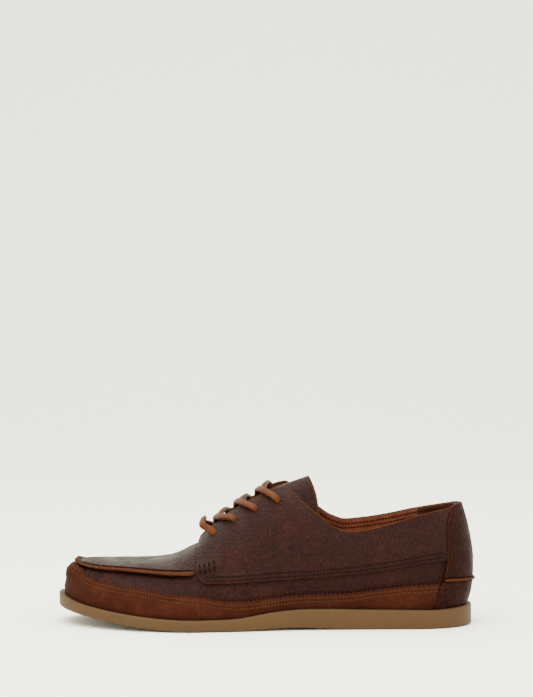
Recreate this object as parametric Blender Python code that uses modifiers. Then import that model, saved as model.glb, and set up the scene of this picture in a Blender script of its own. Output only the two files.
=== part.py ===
"""Left laced moccasin shoe: a stitched apron toe, blucher quarters, mudguards, heel pieces and a thin rubber sole.

The last frame used while modelling has X from the heel (0) to the toe, Y to the wearer's left, which is the
outer side of this left shoe, and Z up from the floor. At the end everything is moved so that the origin is the
centre of the bounding box's base.

The whole upper comes from one surface, shoe_point(turn, rise). turn runs round the shoe: 0 at the toe, 1 at the
heel, positive on the outer side and negative on the inner side. rise runs up a section: -1 to 0 is the margin
turned in under the foot, 0 the feather line on the sole, 1 the apron seam's level and 2 the collar, the throat's
edge or, in front of the throat, the ridge line.
"""

import math
from functools import lru_cache

import bmesh
import bpy
import numpy as np
from mathutils import Matrix, Vector

MM = 0.001

# Sole
SOLE_LENGTH = 300 * MM
BALL_WIDTH = 108 * MM
TOE_SWING = 9 * MM
TOE_SPRING = 12.5 * MM
ARCH_RISE = 2 * MM
HEEL_THICKNESS = 14 * MM
FOREFOOT_THICKNESS = 8.4 * MM
TOE_TIP_THICKNESS = 9.8 * MM
SOLE_EDGE_ROUND = 1.2 * MM

# Upper, heights measured from the top of the sole
LEDGE = 6.2 * MM
SEAM_HEIGHT = 32 * MM
INSTEP_HEIGHT = 84 * MM
HEEL_HEIGHT = 72.5 * MM
MUDGUARD_HEIGHT = 18 * MM
HEM_HEIGHT = 24 * MM
LIP_HEIGHT = 18.5 * MM
LIP_RISE = 2.5 * MM
INNER_COLLAR_RISE = 3.4 * MM
INNER_CORNER_RISE = 2.2 * MM
MARGIN_WIDTH = 9 * MM

# Leather
WALL = 2.0 * MM
QUARTER_LEATHER = 1.7 * MM
MUDGUARD_LEATHER = 1.6 * MM
APRON_LEATHER = 1.3 * MM
HEEL_LEATHER = 2.2 * MM
TONGUE_LEATHER = 2.0 * MM
INSOLE_THICKNESS = 3.2 * MM
GAP = 0.3 * MM
OVERLAY_GAP = 0.6 * MM

# Raised seams
SEAM_WIDTH = 3.0 * MM
SEAM_RISE = 3.0 * MM
TOE_SEAM_RISE = 5.0 * MM
LIP_WIDTH = 2.8 * MM
LIP_DEPTH = 4.6 * MM

# Lace
LACE_WIDTH = 3.8 * MM
LACE_THICKNESS = 2.4 * MM
LACE_HOLE = 2.3 * MM
HOLE_FROM_RIDGE = 20.0 * MM

# Where the pieces end, as turns round the shoe
THROAT_TURN = 0.37
QUARTER_TURN = 0.372
MUDGUARD_SPLIT = 0.376
LACE_TURNS = (0.415, 0.457, 0.500, 0.543)

# Share of the length, outer and inner half widths as shares of the ball width
PLAN = (
    (0.00, 0.335, 0.335),
    (0.12, 0.345, 0.345),
    (0.30, 0.365, 0.335),
    (0.45, 0.410, 0.335),
    (0.60, 0.485, 0.400),
    (0.70, 0.530, 0.455),
    (0.80, 0.520, 0.470),
    (1.00, 0.470, 0.460),
)
TOE_ROUND_START = 0.72
TOE_ROUND_POWER = 2.3
HEEL_ROUND_START = 0.14
HEEL_ROUND_POWER = 2.2
SWING_START = 0.50

# Share of the length, thickness of the sole
THICKNESS = (
    (0.000, 1.06 * HEEL_THICKNESS),
    (0.100, 0.96 * HEEL_THICKNESS),
    (0.190, 0.99 * HEEL_THICKNESS),
    (0.300, 1.02 * HEEL_THICKNESS),
    (0.385, 0.95 * HEEL_THICKNESS),
    (0.485, 0.82 * HEEL_THICKNESS),
    (0.590, 1.03 * FOREFOOT_THICKNESS),
    (0.650, 1.00 * FOREFOOT_THICKNESS),
    (0.830, 0.94 * FOREFOOT_THICKNESS),
    (0.930, 0.92 * FOREFOOT_THICKNESS),
    (1.000, TOE_TIP_THICKNESS),
)
SPRING_START = 0.66
SPRING_POWER = 1.7
ARCH_START = 0.27
ARCH_END = 0.59

# Turn; seam point: along, out from the axis, up; rim point: along, out, up; angles in degrees of the wall at the
# sole, out of the vertical, then above the level below the seam, above the seam and at the rim
SECTIONS = (
    (0.000, 0.955, 0.000, 0.74 * SEAM_HEIGHT, 0.939, 0.000, 0.85 * SEAM_HEIGHT, 6, 13, 13, 10),
    (0.050, 0.946, 0.100, 0.79 * SEAM_HEIGHT, 0.927, 0.000, 0.90 * SEAM_HEIGHT, 6, 19, 15, 8),
    (0.100, 0.921, 0.180, 0.82 * SEAM_HEIGHT, 0.904, 0.000, 0.93 * SEAM_HEIGHT, 7, 28, 16, 5),
    (0.150, 0.882, 0.238, 0.86 * SEAM_HEIGHT, 0.870, 0.000, 0.96 * SEAM_HEIGHT, 7, 36, 16, 3),
    (0.200, 0.838, 0.276, 0.91 * SEAM_HEIGHT, 0.830, 0.000, 0.99 * SEAM_HEIGHT, 9, 41, 17, 2),
    (0.250, 0.789, 0.308, 0.94 * SEAM_HEIGHT, 0.785, 0.000, 1.05 * SEAM_HEIGHT, 11, 46, 20, 2),
    (0.300, 0.736, 0.337, 0.96 * SEAM_HEIGHT, 0.733, 0.000, 1.16 * SEAM_HEIGHT, 13, 51, 27, 3),
    (0.345, 0.688, 0.361, 0.99 * SEAM_HEIGHT, 0.690, 0.000, 1.355 * SEAM_HEIGHT, 14, 56, 38, 4),
    (0.370, 0.662, 0.368, 1.02 * SEAM_HEIGHT, 0.662, 0.000, 1.550 * SEAM_HEIGHT, 15, 58, 50, 6),
    (0.392, 0.640, 0.368, 1.06 * SEAM_HEIGHT, 0.641, 0.056, 1.740 * SEAM_HEIGHT, 15, 61, 57, 12),
    (0.420, 0.610, 0.361, 0.44 * INSTEP_HEIGHT, 0.612, 0.074, 0.755 * INSTEP_HEIGHT, 15, 64, 63, 18),
    (0.450, 0.578, 0.343, 0.49 * INSTEP_HEIGHT, 0.578, 0.079, 0.850 * INSTEP_HEIGHT, 15, 68, 66, 22),
    (0.500, 0.520, 0.317, 0.55 * INSTEP_HEIGHT, 0.518, 0.083, 0.945 * INSTEP_HEIGHT, 14, 72, 70, 28),
    (0.540, 0.473, 0.301, 0.57 * INSTEP_HEIGHT, 0.470, 0.093, 0.998 * INSTEP_HEIGHT, 13, 74, 73, 32),
    (0.556, 0.454, 0.300, 0.57 * INSTEP_HEIGHT, 0.450, 0.110, 1.000 * INSTEP_HEIGHT, 13, 75, 74, 36),
    (0.570, 0.437, 0.303, 0.55 * INSTEP_HEIGHT, 0.431, 0.155, 0.955 * INSTEP_HEIGHT, 13, 77, 76, 46),
    (0.590, 0.413, 0.309, 0.51 * INSTEP_HEIGHT, 0.406, 0.199, 0.868 * INSTEP_HEIGHT, 13, 80, 79, 55),
    (0.620, 0.377, 0.315, 0.47 * INSTEP_HEIGHT, 0.371, 0.238, 0.770 * INSTEP_HEIGHT, 13, 82, 82, 62),
    (0.650, 0.341, 0.319, 0.43 * INSTEP_HEIGHT, 0.337, 0.260, 0.682 * INSTEP_HEIGHT, 13, 84, 84, 67),
    (0.680, 0.306, 0.322, 0.47 * HEEL_HEIGHT, 0.303, 0.270, 0.745 * HEEL_HEIGHT, 13, 85, 85, 70),
    (0.720, 0.259, 0.322, 0.47 * HEEL_HEIGHT, 0.257, 0.273, 0.770 * HEEL_HEIGHT, 13, 86, 86, 72),
    (0.770, 0.200, 0.322, 0.47 * HEEL_HEIGHT, 0.200, 0.266, 0.832 * HEEL_HEIGHT, 14, 87, 87, 73),
    (0.830, 0.131, 0.308, 0.47 * HEEL_HEIGHT, 0.132, 0.240, 0.922 * HEEL_HEIGHT, 16, 88, 88, 74),
    (0.880, 0.076, 0.262, 0.47 * HEEL_HEIGHT, 0.083, 0.190, 0.965 * HEEL_HEIGHT, 19, 90, 88, 73),
    (0.920, 0.036, 0.192, 0.47 * HEEL_HEIGHT, 0.054, 0.130, 0.988 * HEEL_HEIGHT, 22, 90, 86, 72),
    (0.960, 0.012, 0.098, 0.47 * HEEL_HEIGHT, 0.038, 0.064, 0.998 * HEEL_HEIGHT, 24, 90, 84, 71),
    (1.000, 0.004, 0.000, 0.47 * HEEL_HEIGHT, 0.032, 0.000, 1.000 * HEEL_HEIGHT, 25, 90, 83, 71),
)
HANDLE = 0.38

# The inner side's edge stands higher than the outer side's: turn of the middle, reach in turns, rise
INNER_RISES = (
    (0.553, 0.060, INNER_CORNER_RISE),
    (0.690, 0.155, INNER_COLLAR_RISE),
)

# Turn, number of sections up to it from the turn before
STATIONS = (
    (0.000, 0),
    (0.260, 10),
    (THROAT_TURN, 6),
    (0.450, 4),
    (0.556, 4),
    (0.620, 3),
    (0.800, 4),
    (1.000, 7),
)

# Turn, height of the mudguard's top edge
MUDGUARD_TOP = (
    (0.000, 1.25 * MUDGUARD_HEIGHT),
    (0.070, 1.25 * MUDGUARD_HEIGHT),
    (0.090, 1.22 * MUDGUARD_HEIGHT),
    (0.105, 1.14 * MUDGUARD_HEIGHT),
    (0.130, 1.07 * MUDGUARD_HEIGHT),
    (0.150, 1.03 * MUDGUARD_HEIGHT),
    (0.200, 1.02 * MUDGUARD_HEIGHT),
    (0.250, 1.00 * MUDGUARD_HEIGHT),
    (0.310, 0.93 * MUDGUARD_HEIGHT),
    (0.376, 0.87 * MUDGUARD_HEIGHT),
    (0.415, 0.77 * MUDGUARD_HEIGHT),
    (0.480, 0.64 * MUDGUARD_HEIGHT),
    (0.530, 0.59 * MUDGUARD_HEIGHT),
    (0.610, 0.60 * MUDGUARD_HEIGHT),
    (0.680, 0.65 * MUDGUARD_HEIGHT),
    (0.755, 0.84 * MUDGUARD_HEIGHT),
    (0.825, 1.00 * MUDGUARD_HEIGHT),
    (0.900, 1.05 * MUDGUARD_HEIGHT),
)

# Turn, height of the quarter's lower edge
QUARTER_HEM = (
    (0.372, 1.02 * HEM_HEIGHT),
    (0.440, 1.02 * HEM_HEIGHT),
    (0.520, 0.94 * HEM_HEIGHT),
    (0.590, 0.90 * HEM_HEIGHT),
    (0.670, 1.00 * HEM_HEIGHT),
    (0.780, 1.24 * HEM_HEIGHT),
    (0.860, 1.44 * HEM_HEIGHT),
    (0.900, 1.47 * HEM_HEIGHT),
)

# Share of the way up the quarter, turn of its front edge, with a round lower corner
QUARTER_FRONT = (
    (0.00, QUARTER_TURN + 0.0200),
    (0.02, QUARTER_TURN + 0.0115),
    (0.06, QUARTER_TURN + 0.0045),
    (0.13, QUARTER_TURN),
    (0.50, QUARTER_TURN + 0.0020),
    (1.00, QUARTER_TURN + 0.0090),
)

# Rise, turn of the front edge of the heel pieces
HEEL_EDGE = (
    (0.00, 0.870),
    (0.50, 0.884),
    (0.90, 0.889),
    (1.50, 0.891),
    (1.80, 0.899),
    (2.00, 0.926),
)

# Turn; the tongue's ridge: along, up as a share of the instep; how far down its flanks go, as a rise
TONGUE = (
    (0.340, 0.693, 0.470, 1.62),
    (0.370, 0.662, 0.545, 1.62),
    (0.392, 0.641, 0.620, 1.60),
    (0.420, 0.612, 0.742, 1.55),
    (0.450, 0.578, 0.843, 1.50),
    (0.500, 0.518, 0.945, 1.50),
    (0.540, 0.470, 1.005, 1.52),
    (0.556, 0.450, 1.030, 1.54),
    (0.570, 0.436, 1.046, 1.58),
    (0.590, 0.414, 1.070, 1.66),
    (0.622, 0.394, 1.094, 1.76),
)

LEATHER_DARK = (0.075, 0.024, 0.018, 1.0)
LEATHER_RUST = (0.135, 0.036, 0.014, 1.0)
LEATHER_TAN = (0.300, 0.100, 0.035, 1.0)
RUBBER_GUM = (0.290, 0.160, 0.060, 1.0)
LACE_TAN = (0.270, 0.095, 0.035, 1.0)


def smooth_table(rows, at, column=1):
    """Reads one column of a table at a place between its rows, with no overshoot."""
    places = [row[0] for row in rows]
    values = [row[column] for row in rows]
    at = min(max(at, places[0]), places[-1])
    steps = [b - a for a, b in zip(places, places[1:])]
    slopes = [(b - a) / step for a, b, step in zip(values, values[1:], steps)]
    ends = [slopes[0]]
    for i in range(1, len(slopes)):
        before, after = slopes[i - 1], slopes[i]
        if before * after <= 0:
            ends.append(0.0)
            continue
        low = (2 * steps[i] + steps[i - 1]) / before
        high = (steps[i] + 2 * steps[i - 1]) / after
        ends.append(3 * (steps[i - 1] + steps[i]) / (low + high))
    ends.append(slopes[-1])
    i = max(k for k in range(len(steps)) if at >= places[k])
    t = (at - places[i]) / steps[i]
    return (
        (2 * t**3 - 3 * t**2 + 1) * values[i]
        + (t**3 - 2 * t**2 + t) * steps[i] * ends[i]
        + (3 * t**2 - 2 * t**3) * values[i + 1]
        + (t**3 - t**2) * steps[i] * ends[i + 1]
    )


def ease(t):
    """Smooth step from 0 to 1."""
    t = min(max(t, 0.0), 1.0)
    return t * t * (3 - 2 * t)


def axis_y(along):
    """Sideways place of the shoe's middle line, which bends inwards towards the toe."""
    return -TOE_SWING * ease((along - SWING_START) / (1 - SWING_START))


def sole_bottom(along):
    """Height of the sole's underside, flat under the heel and the ball."""
    spring = max(0.0, (along - SPRING_START) / (1 - SPRING_START))
    arch = min(max((along - ARCH_START) / (ARCH_END - ARCH_START), 0.0), 1.0)
    return TOE_SPRING * spring**SPRING_POWER + ARCH_RISE * math.sin(math.pi * arch) ** 2


def sole_top(along):
    """Height of the sole's upper face."""
    return sole_bottom(along) + smooth_table(THICKNESS, along)


def half_width(along, column):
    """Half width of the sole, from its middle line, with the toe and the heel rounded off."""
    width = smooth_table(PLAN, along, column) * BALL_WIDTH
    toe = max(0.0, (along - TOE_ROUND_START) / (1 - TOE_ROUND_START))
    heel = max(0.0, (HEEL_ROUND_START - along) / HEEL_ROUND_START)
    width *= max(0.0, 1 - toe**TOE_ROUND_POWER) ** (1 / TOE_ROUND_POWER)
    return width * max(0.0, 1 - heel**HEEL_ROUND_POWER) ** (1 / HEEL_ROUND_POWER)


@lru_cache(maxsize=None)
def outline(side, inset):
    """The sole's outline on one side from toe to heel, moved in by inset: (length along it, points, normals)."""
    column = 1 if side > 0 else 2
    along = 0.5 + 0.5 * np.cos(np.linspace(0, math.pi, 361))
    along[0], along[-1] = 1.0, 0.0
    points = np.array(
        [(a * SOLE_LENGTH, axis_y(a) + side * half_width(a, column)) for a in along]
    )
    tangents = np.gradient(points, axis=0)
    tangents[0] = (0, side)
    tangents[-1] = (0, -side)
    normals = np.stack([tangents[:, 1], -tangents[:, 0]], 1) * side
    normals /= np.linalg.norm(normals, axis=1)[:, None]
    points = points - normals * inset
    steps = np.linalg.norm(np.diff(points, axis=0), axis=1)
    return np.concatenate([[0], np.cumsum(steps)]), points, normals


def plan_point(turn, inset):
    """(point, outward normal) of the inset outline at a turn from -1 to 1."""
    side = 1 if turn >= 0 else -1
    length, points, normals = outline(side, inset)
    at = abs(turn) * length[-1]
    point = np.array([np.interp(at, length, points[:, k]) for k in (0, 1)])
    normal = np.array([np.interp(at, length, normals[:, k]) for k in (0, 1)])
    return point, normal / np.linalg.norm(normal)


def placed(along, out, up, side):
    """A point from shares: along the length, out from the middle line, and a height over the sole."""
    return np.array(
        [
            along * SOLE_LENGTH,
            axis_y(along) + side * out * BALL_WIDTH,
            sole_top(along) + up,
        ]
    )


def lifted(plan, degrees):
    """A unit vector along a level direction, tipped up by an angle."""
    angle = math.radians(degrees)
    return np.array([plan[0] * math.cos(angle), plan[1] * math.cos(angle), math.sin(angle)])


@lru_cache(maxsize=None)
def section(turn):
    """The two Bezier curves of the section at a turn, and its outward level normal."""
    side = 1 if turn >= 0 else -1
    values = [smooth_table(SECTIONS, abs(turn), column) for column in range(1, 11)]
    foot, normal = plan_point(turn, LEDGE)
    foot = np.array([*foot, sole_top(foot[0] / SOLE_LENGTH) + GAP])
    seam = placed(*values[0:3], side)
    rim = placed(*values[3:6], side)
    if side < 0:
        for middle, reach, rise in INNER_RISES:
            rim[2] += rise * ease(1 - abs(abs(turn) - middle) / reach)
    tilt, below, above, end = values[6:10]
    inward = rim[:2] - seam[:2]
    inward /= np.linalg.norm(inward)
    low = np.linalg.norm(seam - foot) * HANDLE
    high = np.linalg.norm(rim - seam) * HANDLE
    wall = (
        foot,
        foot + lifted(normal, 90 - tilt) * low,
        seam - lifted(-normal, below) * low,
        seam,
    )
    top = (
        seam,
        seam + lifted(-normal, above) * high,
        rim - lifted(inward, end) * high,
        rim,
    )
    return wall, top, normal


def bezier(points, t):
    """A point on a cubic Bezier curve."""
    a, b, c, d = points
    u = 1 - t
    return a * u**3 + 3 * b * u * u * t + 3 * c * u * t * t + d * t**3


def wrapped(turn):
    """A turn past the heel comes back on the other side."""
    return turn - 2 if turn > 1 else turn + 2 if turn < -1 else turn


def shoe_point(turn, rise):
    """A point of the upper's outer surface."""
    wall, top, normal = section(round(wrapped(turn), 7))
    if rise < 0:
        x, y = wall[0][:2] + normal * MARGIN_WIDTH * rise
        return np.array([x, y, sole_top(x / SOLE_LENGTH) + GAP])
    return bezier(wall, rise) if rise <= 1 else bezier(top, rise - 1)


def shoe_normal(turn, rise):
    """The outward normal of the upper's surface, from small steps to each side."""
    step = 0.004
    rise = min(rise, 1.96)
    low = max(rise - 0.02, 0.0)
    across = shoe_point(turn, rise + 0.02) - shoe_point(turn, low)
    along = shoe_point(turn + step, rise) - shoe_point(turn - step, rise)
    normal = np.cross(along, across)
    return normal / np.linalg.norm(normal)


def raised(turn, rise, height):
    """A point that stands over the upper's surface by a height."""
    return shoe_point(turn, rise) + shoe_normal(turn, rise) * height


def rise_at_height(turn, height, low=0.0, high=2.0):
    """The rise where a section is a height over the sole."""
    foot = shoe_point(turn, 0.0)[2] - GAP
    for _ in range(30):
        middle = (low + high) / 2
        if shoe_point(turn, middle)[2] - foot < height:
            low = middle
        else:
            high = middle
    return low


def foot_rise(turn, thickness):
    """The lowest rise of an overlay whose outer face still clears the sole."""
    inner = shoe_point(turn, 0.05)
    outer = raised(turn, 0.05, thickness + GAP)
    climb = sole_top(outer[0] / SOLE_LENGTH) - sole_top(inner[0] / SOLE_LENGTH)
    return rise_at_height(turn, 2 * GAP + max(0.0, inner[2] - outer[2] + climb))


def rise_from(turn, rise, distance):
    """The rise a distance further up a section, or down it where the distance is negative."""
    step = 0.02 if distance > 0 else -0.02
    length = np.linalg.norm(shoe_point(turn, rise + step) - shoe_point(turn, rise))
    return rise + step * abs(distance) / length


def rise_at_width(turn, out):
    """The rise on the instep where a section is a distance out from the middle line."""
    low, high = 1.0, 2.0
    for _ in range(30):
        middle = (low + high) / 2
        point = shoe_point(turn, middle)
        if abs(point[1] - axis_y(point[0] / SOLE_LENGTH)) > out:
            low = middle
        else:
            high = middle
    return low


def finish_mesh(name, bm, collection, smooth=True):
    """Turns a bmesh into an object in the collection, its normals pointing outwards."""
    mesh = bpy.data.meshes.new(name)
    bm.to_mesh(mesh)
    bm.free()
    if smooth:
        mesh.shade_smooth()
        mesh.set_sharp_from_angle(angle=math.radians(35))
    made = bpy.data.objects.new(name, mesh)
    collection.objects.link(made)
    return made


def grid_mesh(points, closed=False):
    """An open bmesh through a grid of points, closed round its first direction where asked."""
    bm = bmesh.new()
    rows = [[bm.verts.new(p) for p in row] for row in points]
    pairs = list(zip(rows, rows[1:])) + ([(rows[-1], rows[0])] if closed else [])
    for one, two in pairs:
        for a, b, c, d in zip(one, two, two[1:], one[1:]):
            bm.faces.new((a, b, c, d))
    return bm


def thicken(made, thickness, outwards=True):
    """Gives an open surface its leather's thickness."""
    wall = made.modifiers.new("leather", "SOLIDIFY")
    wall.thickness = thickness
    wall.offset = 1.0 if outwards else -1.0
    wall.use_even_offset = True
    return made


def patch(name, collection, turns, rises, counts, thickness):
    """An overlay on the upper: turns(b) gives its two ends and rises(turn) its two edges."""
    across, up = counts
    points = []
    for i in range(across + 1):
        column = []
        for k in range(up + 1):
            b = k / up
            first, last = turns(b)
            turn = first + (last - first) * i / across
            low, high = rises(turn)
            column.append(raised(turn, low + (high - low) * b, OVERLAY_GAP))
        points.append(column)
    return thicken(finish_mesh(name, grid_mesh(points), collection), thickness)


def swept(name, collection, frames, profile, loop=False):
    """A solid swept along frames (point, across, up), with a profile of (across, up) pairs or a function of them."""
    bm = bmesh.new()
    rings = []
    for share, (point, across, up) in zip(np.linspace(0, 1, len(frames)), frames):
        pairs = profile(share) if callable(profile) else profile
        rings.append([bm.verts.new(point + across * a + up * b) for a, b in pairs])
    pairs = list(zip(rings, rings[1:])) + ([(rings[-1], rings[0])] if loop else [])
    for one, two in pairs:
        for i in range(len(one)):
            j = (i + 1) % len(one)
            bm.faces.new((one[i], one[j], two[j], two[i]))
    if not loop:
        bm.faces.new(rings[0][::-1])
        bm.faces.new(rings[-1])
    bmesh.ops.recalc_face_normals(bm, faces=bm.faces)
    return finish_mesh(name, bm, collection)


def station_turns():
    """The turns of the upper's sections on one side, closer together where it bends most."""
    turns = [0.0]
    for (start, _), (end, count) in zip(STATIONS, STATIONS[1:]):
        turns += [start + (end - start) * i / count for i in range(1, count + 1)]
    return turns


def both_sides(turns):
    """The same turns on the inner side, heel first, and then on the outer side, with the toe once."""
    return [-t for t in turns[:0:-1]] + turns


def build_upper(collection):
    """The hollow base of the upper, open at the collar, the throat and underneath."""
    rises = [-1.0] + [i / 4 for i in range(4)] + [1 + i / 6 for i in range(7)]
    bm = bmesh.new()
    ridge = {}
    columns = []
    for turn in both_sides(station_turns())[1:]:
        column = [bm.verts.new(shoe_point(turn, rise)) for rise in rises[:-1]]
        if abs(turn) <= THROAT_TURN:
            if abs(turn) not in ridge:
                ridge[abs(turn)] = bm.verts.new(shoe_point(turn, 2.0))
            column.append(ridge[abs(turn)])
        else:
            column.append(bm.verts.new(shoe_point(turn, 2.0)))
        columns.append(column)
    for one, two in zip(columns, columns[1:] + columns[:1]):
        for a, b, c, d in zip(one, two, two[1:], one[1:]):
            bm.faces.new((a, b, c, d))
    return thicken(finish_mesh("upper", bm, collection), WALL, outwards=False)


def build_apron(collection):
    """The plug over the toes, inside the raised seam."""
    half = [t for t in station_turns() if t < THROAT_TURN] + [THROAT_TURN * 0.993]
    bm = bmesh.new()
    ridge = {}
    columns = []
    for turn in both_sides(half):
        low = rise_from(turn, 1.0, SEAM_WIDTH / 2 + 3 * GAP)
        column = [bm.verts.new(raised(turn, low + (2 - low) * k / 6, GAP)) for k in range(6)]
        if abs(turn) not in ridge:
            middle = (raised(abs(turn), 2.0, GAP) + raised(-abs(turn), 2.0, GAP)) / 2
            ridge[abs(turn)] = bm.verts.new(middle)
        columns.append(column + [ridge[abs(turn)]])
    for one, two in zip(columns, columns[1:]):
        for a, b, c, d in zip(one, two, two[1:], one[1:]):
            bm.faces.new((a, b, c, d))
    return thicken(finish_mesh("apron", bm, collection), APRON_LEATHER)


def surface_frames(turns, rise_of):
    """Frames along the upper's surface for a raised seam: point, across up the section, and outwards."""
    frames = []
    for turn in turns:
        rise = rise_of(turn)
        up = shoe_normal(turn, rise)
        across = shoe_point(turn, rise + 0.02) - shoe_point(turn, rise - 0.02)
        across -= up * across.dot(up)
        frames.append((shoe_point(turn, rise), across / np.linalg.norm(across), up))
    return frames


def ridge_profile(width, height):
    """A rounded bead standing on the surface, as (across, up) pairs."""
    shape = ((-1.0, 0.0), (-0.95, 0.62), (-0.5, 1.0), (0.5, 1.0), (0.95, 0.62), (1.0, 0.0))
    return [(a * width / 2, GAP + b * (height - GAP)) for a, b in shape]


def build_moc_seam(collection):
    """The raised hand-sewn seam round the apron, tallest at the toe."""
    end = THROAT_TURN * 0.993
    turns = np.linspace(-end, end, 45)

    def profile(share):
        toe = math.exp(-(((share - 0.5) / 0.11) ** 2))
        return ridge_profile(SEAM_WIDTH, SEAM_RISE + (TOE_SEAM_RISE - SEAM_RISE) * toe)

    return swept("moc_seam", collection, surface_frames(turns, lambda turn: 1.0), profile)


def lip_rise(turn):
    """The rise of the seam round the heel, which climbs a little towards the front."""
    turn = abs(wrapped(turn))
    share = (1 - turn) / (1 - HEEL_EDGE[0][1])
    return rise_at_height(turn, LIP_HEIGHT + LIP_RISE * share)


def heel_turns(rise):
    """Both front edges of a heel piece at a rise, going round the heel."""
    edge = smooth_table(HEEL_EDGE, rise, 1)
    return edge, 2 - edge


def build_heel(collection):
    """The heel strap over the heel seam, the foxing under it and the seam's lip."""
    reach = LIP_WIDTH / 2 + GAP

    def strap_low(turn):
        return rise_from(turn, lip_rise(turn), reach)

    def foxing_high(turn):
        return rise_from(turn, lip_rise(turn), -reach)

    patch(
        "heel_strap",
        collection,
        lambda b: heel_turns(0.6 + 1.4 * b),
        lambda turn: (strap_low(turn), 2.0),
        (16, 7),
        HEEL_LEATHER,
    )
    patch(
        "heel_foxing",
        collection,
        lambda b: heel_turns(0.6 * b),
        lambda turn: (foot_rise(turn, HEEL_LEATHER), foxing_high(turn)),
        (18, 3),
        HEEL_LEATHER,
    )
    first, last = heel_turns(0.6)
    frames = surface_frames(np.linspace(first, last, 21), lip_rise)
    swept("heel_lip", collection, frames, ridge_profile(LIP_WIDTH, LIP_DEPTH))


def build_quarters(collection):
    """The two blucher quarters, from the throat's edge back to the heel strap."""
    clear = 0.0016
    quarters = []
    for name, side in (("quarter_outer", 1), ("quarter_inner", -1)):

        def turns(b, side=side):
            front = smooth_table(QUARTER_FRONT, b)
            back = smooth_table(HEEL_EDGE, 0.9 + 1.1 * b) - clear
            return (front, back) if side > 0 else (-back, -front)

        def rises(turn):
            return rise_at_height(turn, smooth_table(QUARTER_HEM, abs(turn))), 2.0

        quarters.append(patch(name, collection, turns, rises, (24, 8), QUARTER_LEATHER))
    return quarters


def build_mudguards(collection):
    """The rust leather band above the sole: one piece round the toe and one along each side."""
    clear = 0.0009

    def rises(turn):
        seam = rise_from(turn, 1.0, -(SEAM_WIDTH / 2 + GAP))
        top = rise_at_height(turn, smooth_table(MUDGUARD_TOP, abs(turn)))
        return foot_rise(turn, MUDGUARD_LEATHER), min(top, seam)

    split = MUDGUARD_SPLIT - clear
    patch("mudguard_toe", collection, lambda b: (-split, split), rises, (40, 6), MUDGUARD_LEATHER)
    for name, side in (("mudguard_outer", 1), ("mudguard_inner", -1)):

        def turns(b, side=side):
            back = smooth_table(HEEL_EDGE, 0.55 * b) - 2 * clear
            front = MUDGUARD_SPLIT + clear
            return (front, back) if side > 0 else (-back, -front)

        patch(name, collection, turns, rises, (24, 3), MUDGUARD_LEATHER)


def outline_rings(inset):
    """Both sides of the inset outline from toe to heel, in pairs of points level with each other."""
    return [outline(side, inset)[1][::9] for side in (1, -1)]


def build_slab(name, collection, levels):
    """A flat solid through levels of (inset, height function), capped by rungs across it."""
    bm = bmesh.new()
    rings = []
    for inset, height in levels:
        outer, inner = outline_rings(inset)
        ring = [*outer, *inner[-2:0:-1]]
        rings.append([bm.verts.new((x, y, height(x / SOLE_LENGTH))) for x, y in ring])
    count = len(rings[0])
    for one, two in zip(rings, rings[1:]):
        for i in range(count):
            j = (i + 1) % count
            bm.faces.new((one[i], one[j], two[j], two[i]))
    half = count // 2 + 1
    for ring in (rings[0], rings[-1]):
        outer = ring[:half]
        inner = [ring[0]] + ring[: half - 2 : -1]
        for i in range(half - 1):
            bm.faces.new(list(dict.fromkeys((outer[i], outer[i + 1], inner[i + 1], inner[i]))))
    bmesh.ops.recalc_face_normals(bm, faces=bm.faces)
    return finish_mesh(name, bm, collection)


def build_insole(collection):
    """The footbed, lying on the upper's turned-in margin."""
    inset = LEDGE + WALL + 4 * GAP
    base = 3 * GAP + WALL
    levels = (
        (inset, lambda along: sole_top(along) + base),
        (inset, lambda along: sole_top(along) + base + INSOLE_THICKNESS),
    )
    build_slab("insole", collection, levels)


def build_outsole(collection):
    """The rubber sole: its outline, toe spring, arch, heel wedge and rounded edges."""
    edge = SOLE_EDGE_ROUND
    levels = (
        (edge, sole_bottom),
        (0.0, lambda along: sole_bottom(along) + edge),
        (0.0, lambda along: sole_top(along) - edge),
        (edge, sole_top),
    )
    build_slab("outsole", collection, levels)


def tongue_row(turn):
    """One row across the tongue: under the outer side, over the open throat and under the inner side."""
    along, up, low = (smooth_table(TONGUE, turn, column) for column in (1, 2, 3))
    under = -(WALL + 5 * GAP)
    ridge = placed(along, 0.0, up * INSTEP_HEIGHT, 1)
    row = []
    for side in (1, -1):
        flank = [raised(side * turn, low + (1.95 - low) * k / 3, under) for k in range(4)]
        if turn <= THROAT_TURN:
            ridge = (raised(turn, 2.0, under) + raised(-turn, 2.0, under)) / 2
            half = flank[:3]
            half += [flank[2] + (ridge - flank[2]) * k / 3 for k in (1, 2)]
        else:
            reach = np.linalg.norm(ridge - flank[3]) * HANDLE
            leave = flank[3] - flank[2]
            leave /= np.linalg.norm(leave)
            level = ridge + np.array([0, side * reach, 0])
            arch = (flank[3], flank[3] + leave * reach, level, ridge)
            half = flank[:3] + [bezier(arch, t) for t in (0.25, 0.65)]
        row.append(half)
    return row[0] + [ridge] + row[1][::-1]


def build_tongue(collection):
    """The tongue, arched over the instep under the quarters and standing out past the throat."""
    first, last = TONGUE[0][0], TONGUE[-1][0]
    points = [tongue_row(first + (last - first) * i / 14) for i in range(15)]
    made = finish_mesh("tongue", grid_mesh(points), collection)
    return thicken(made, TONGUE_LEATHER, outwards=False)


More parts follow.
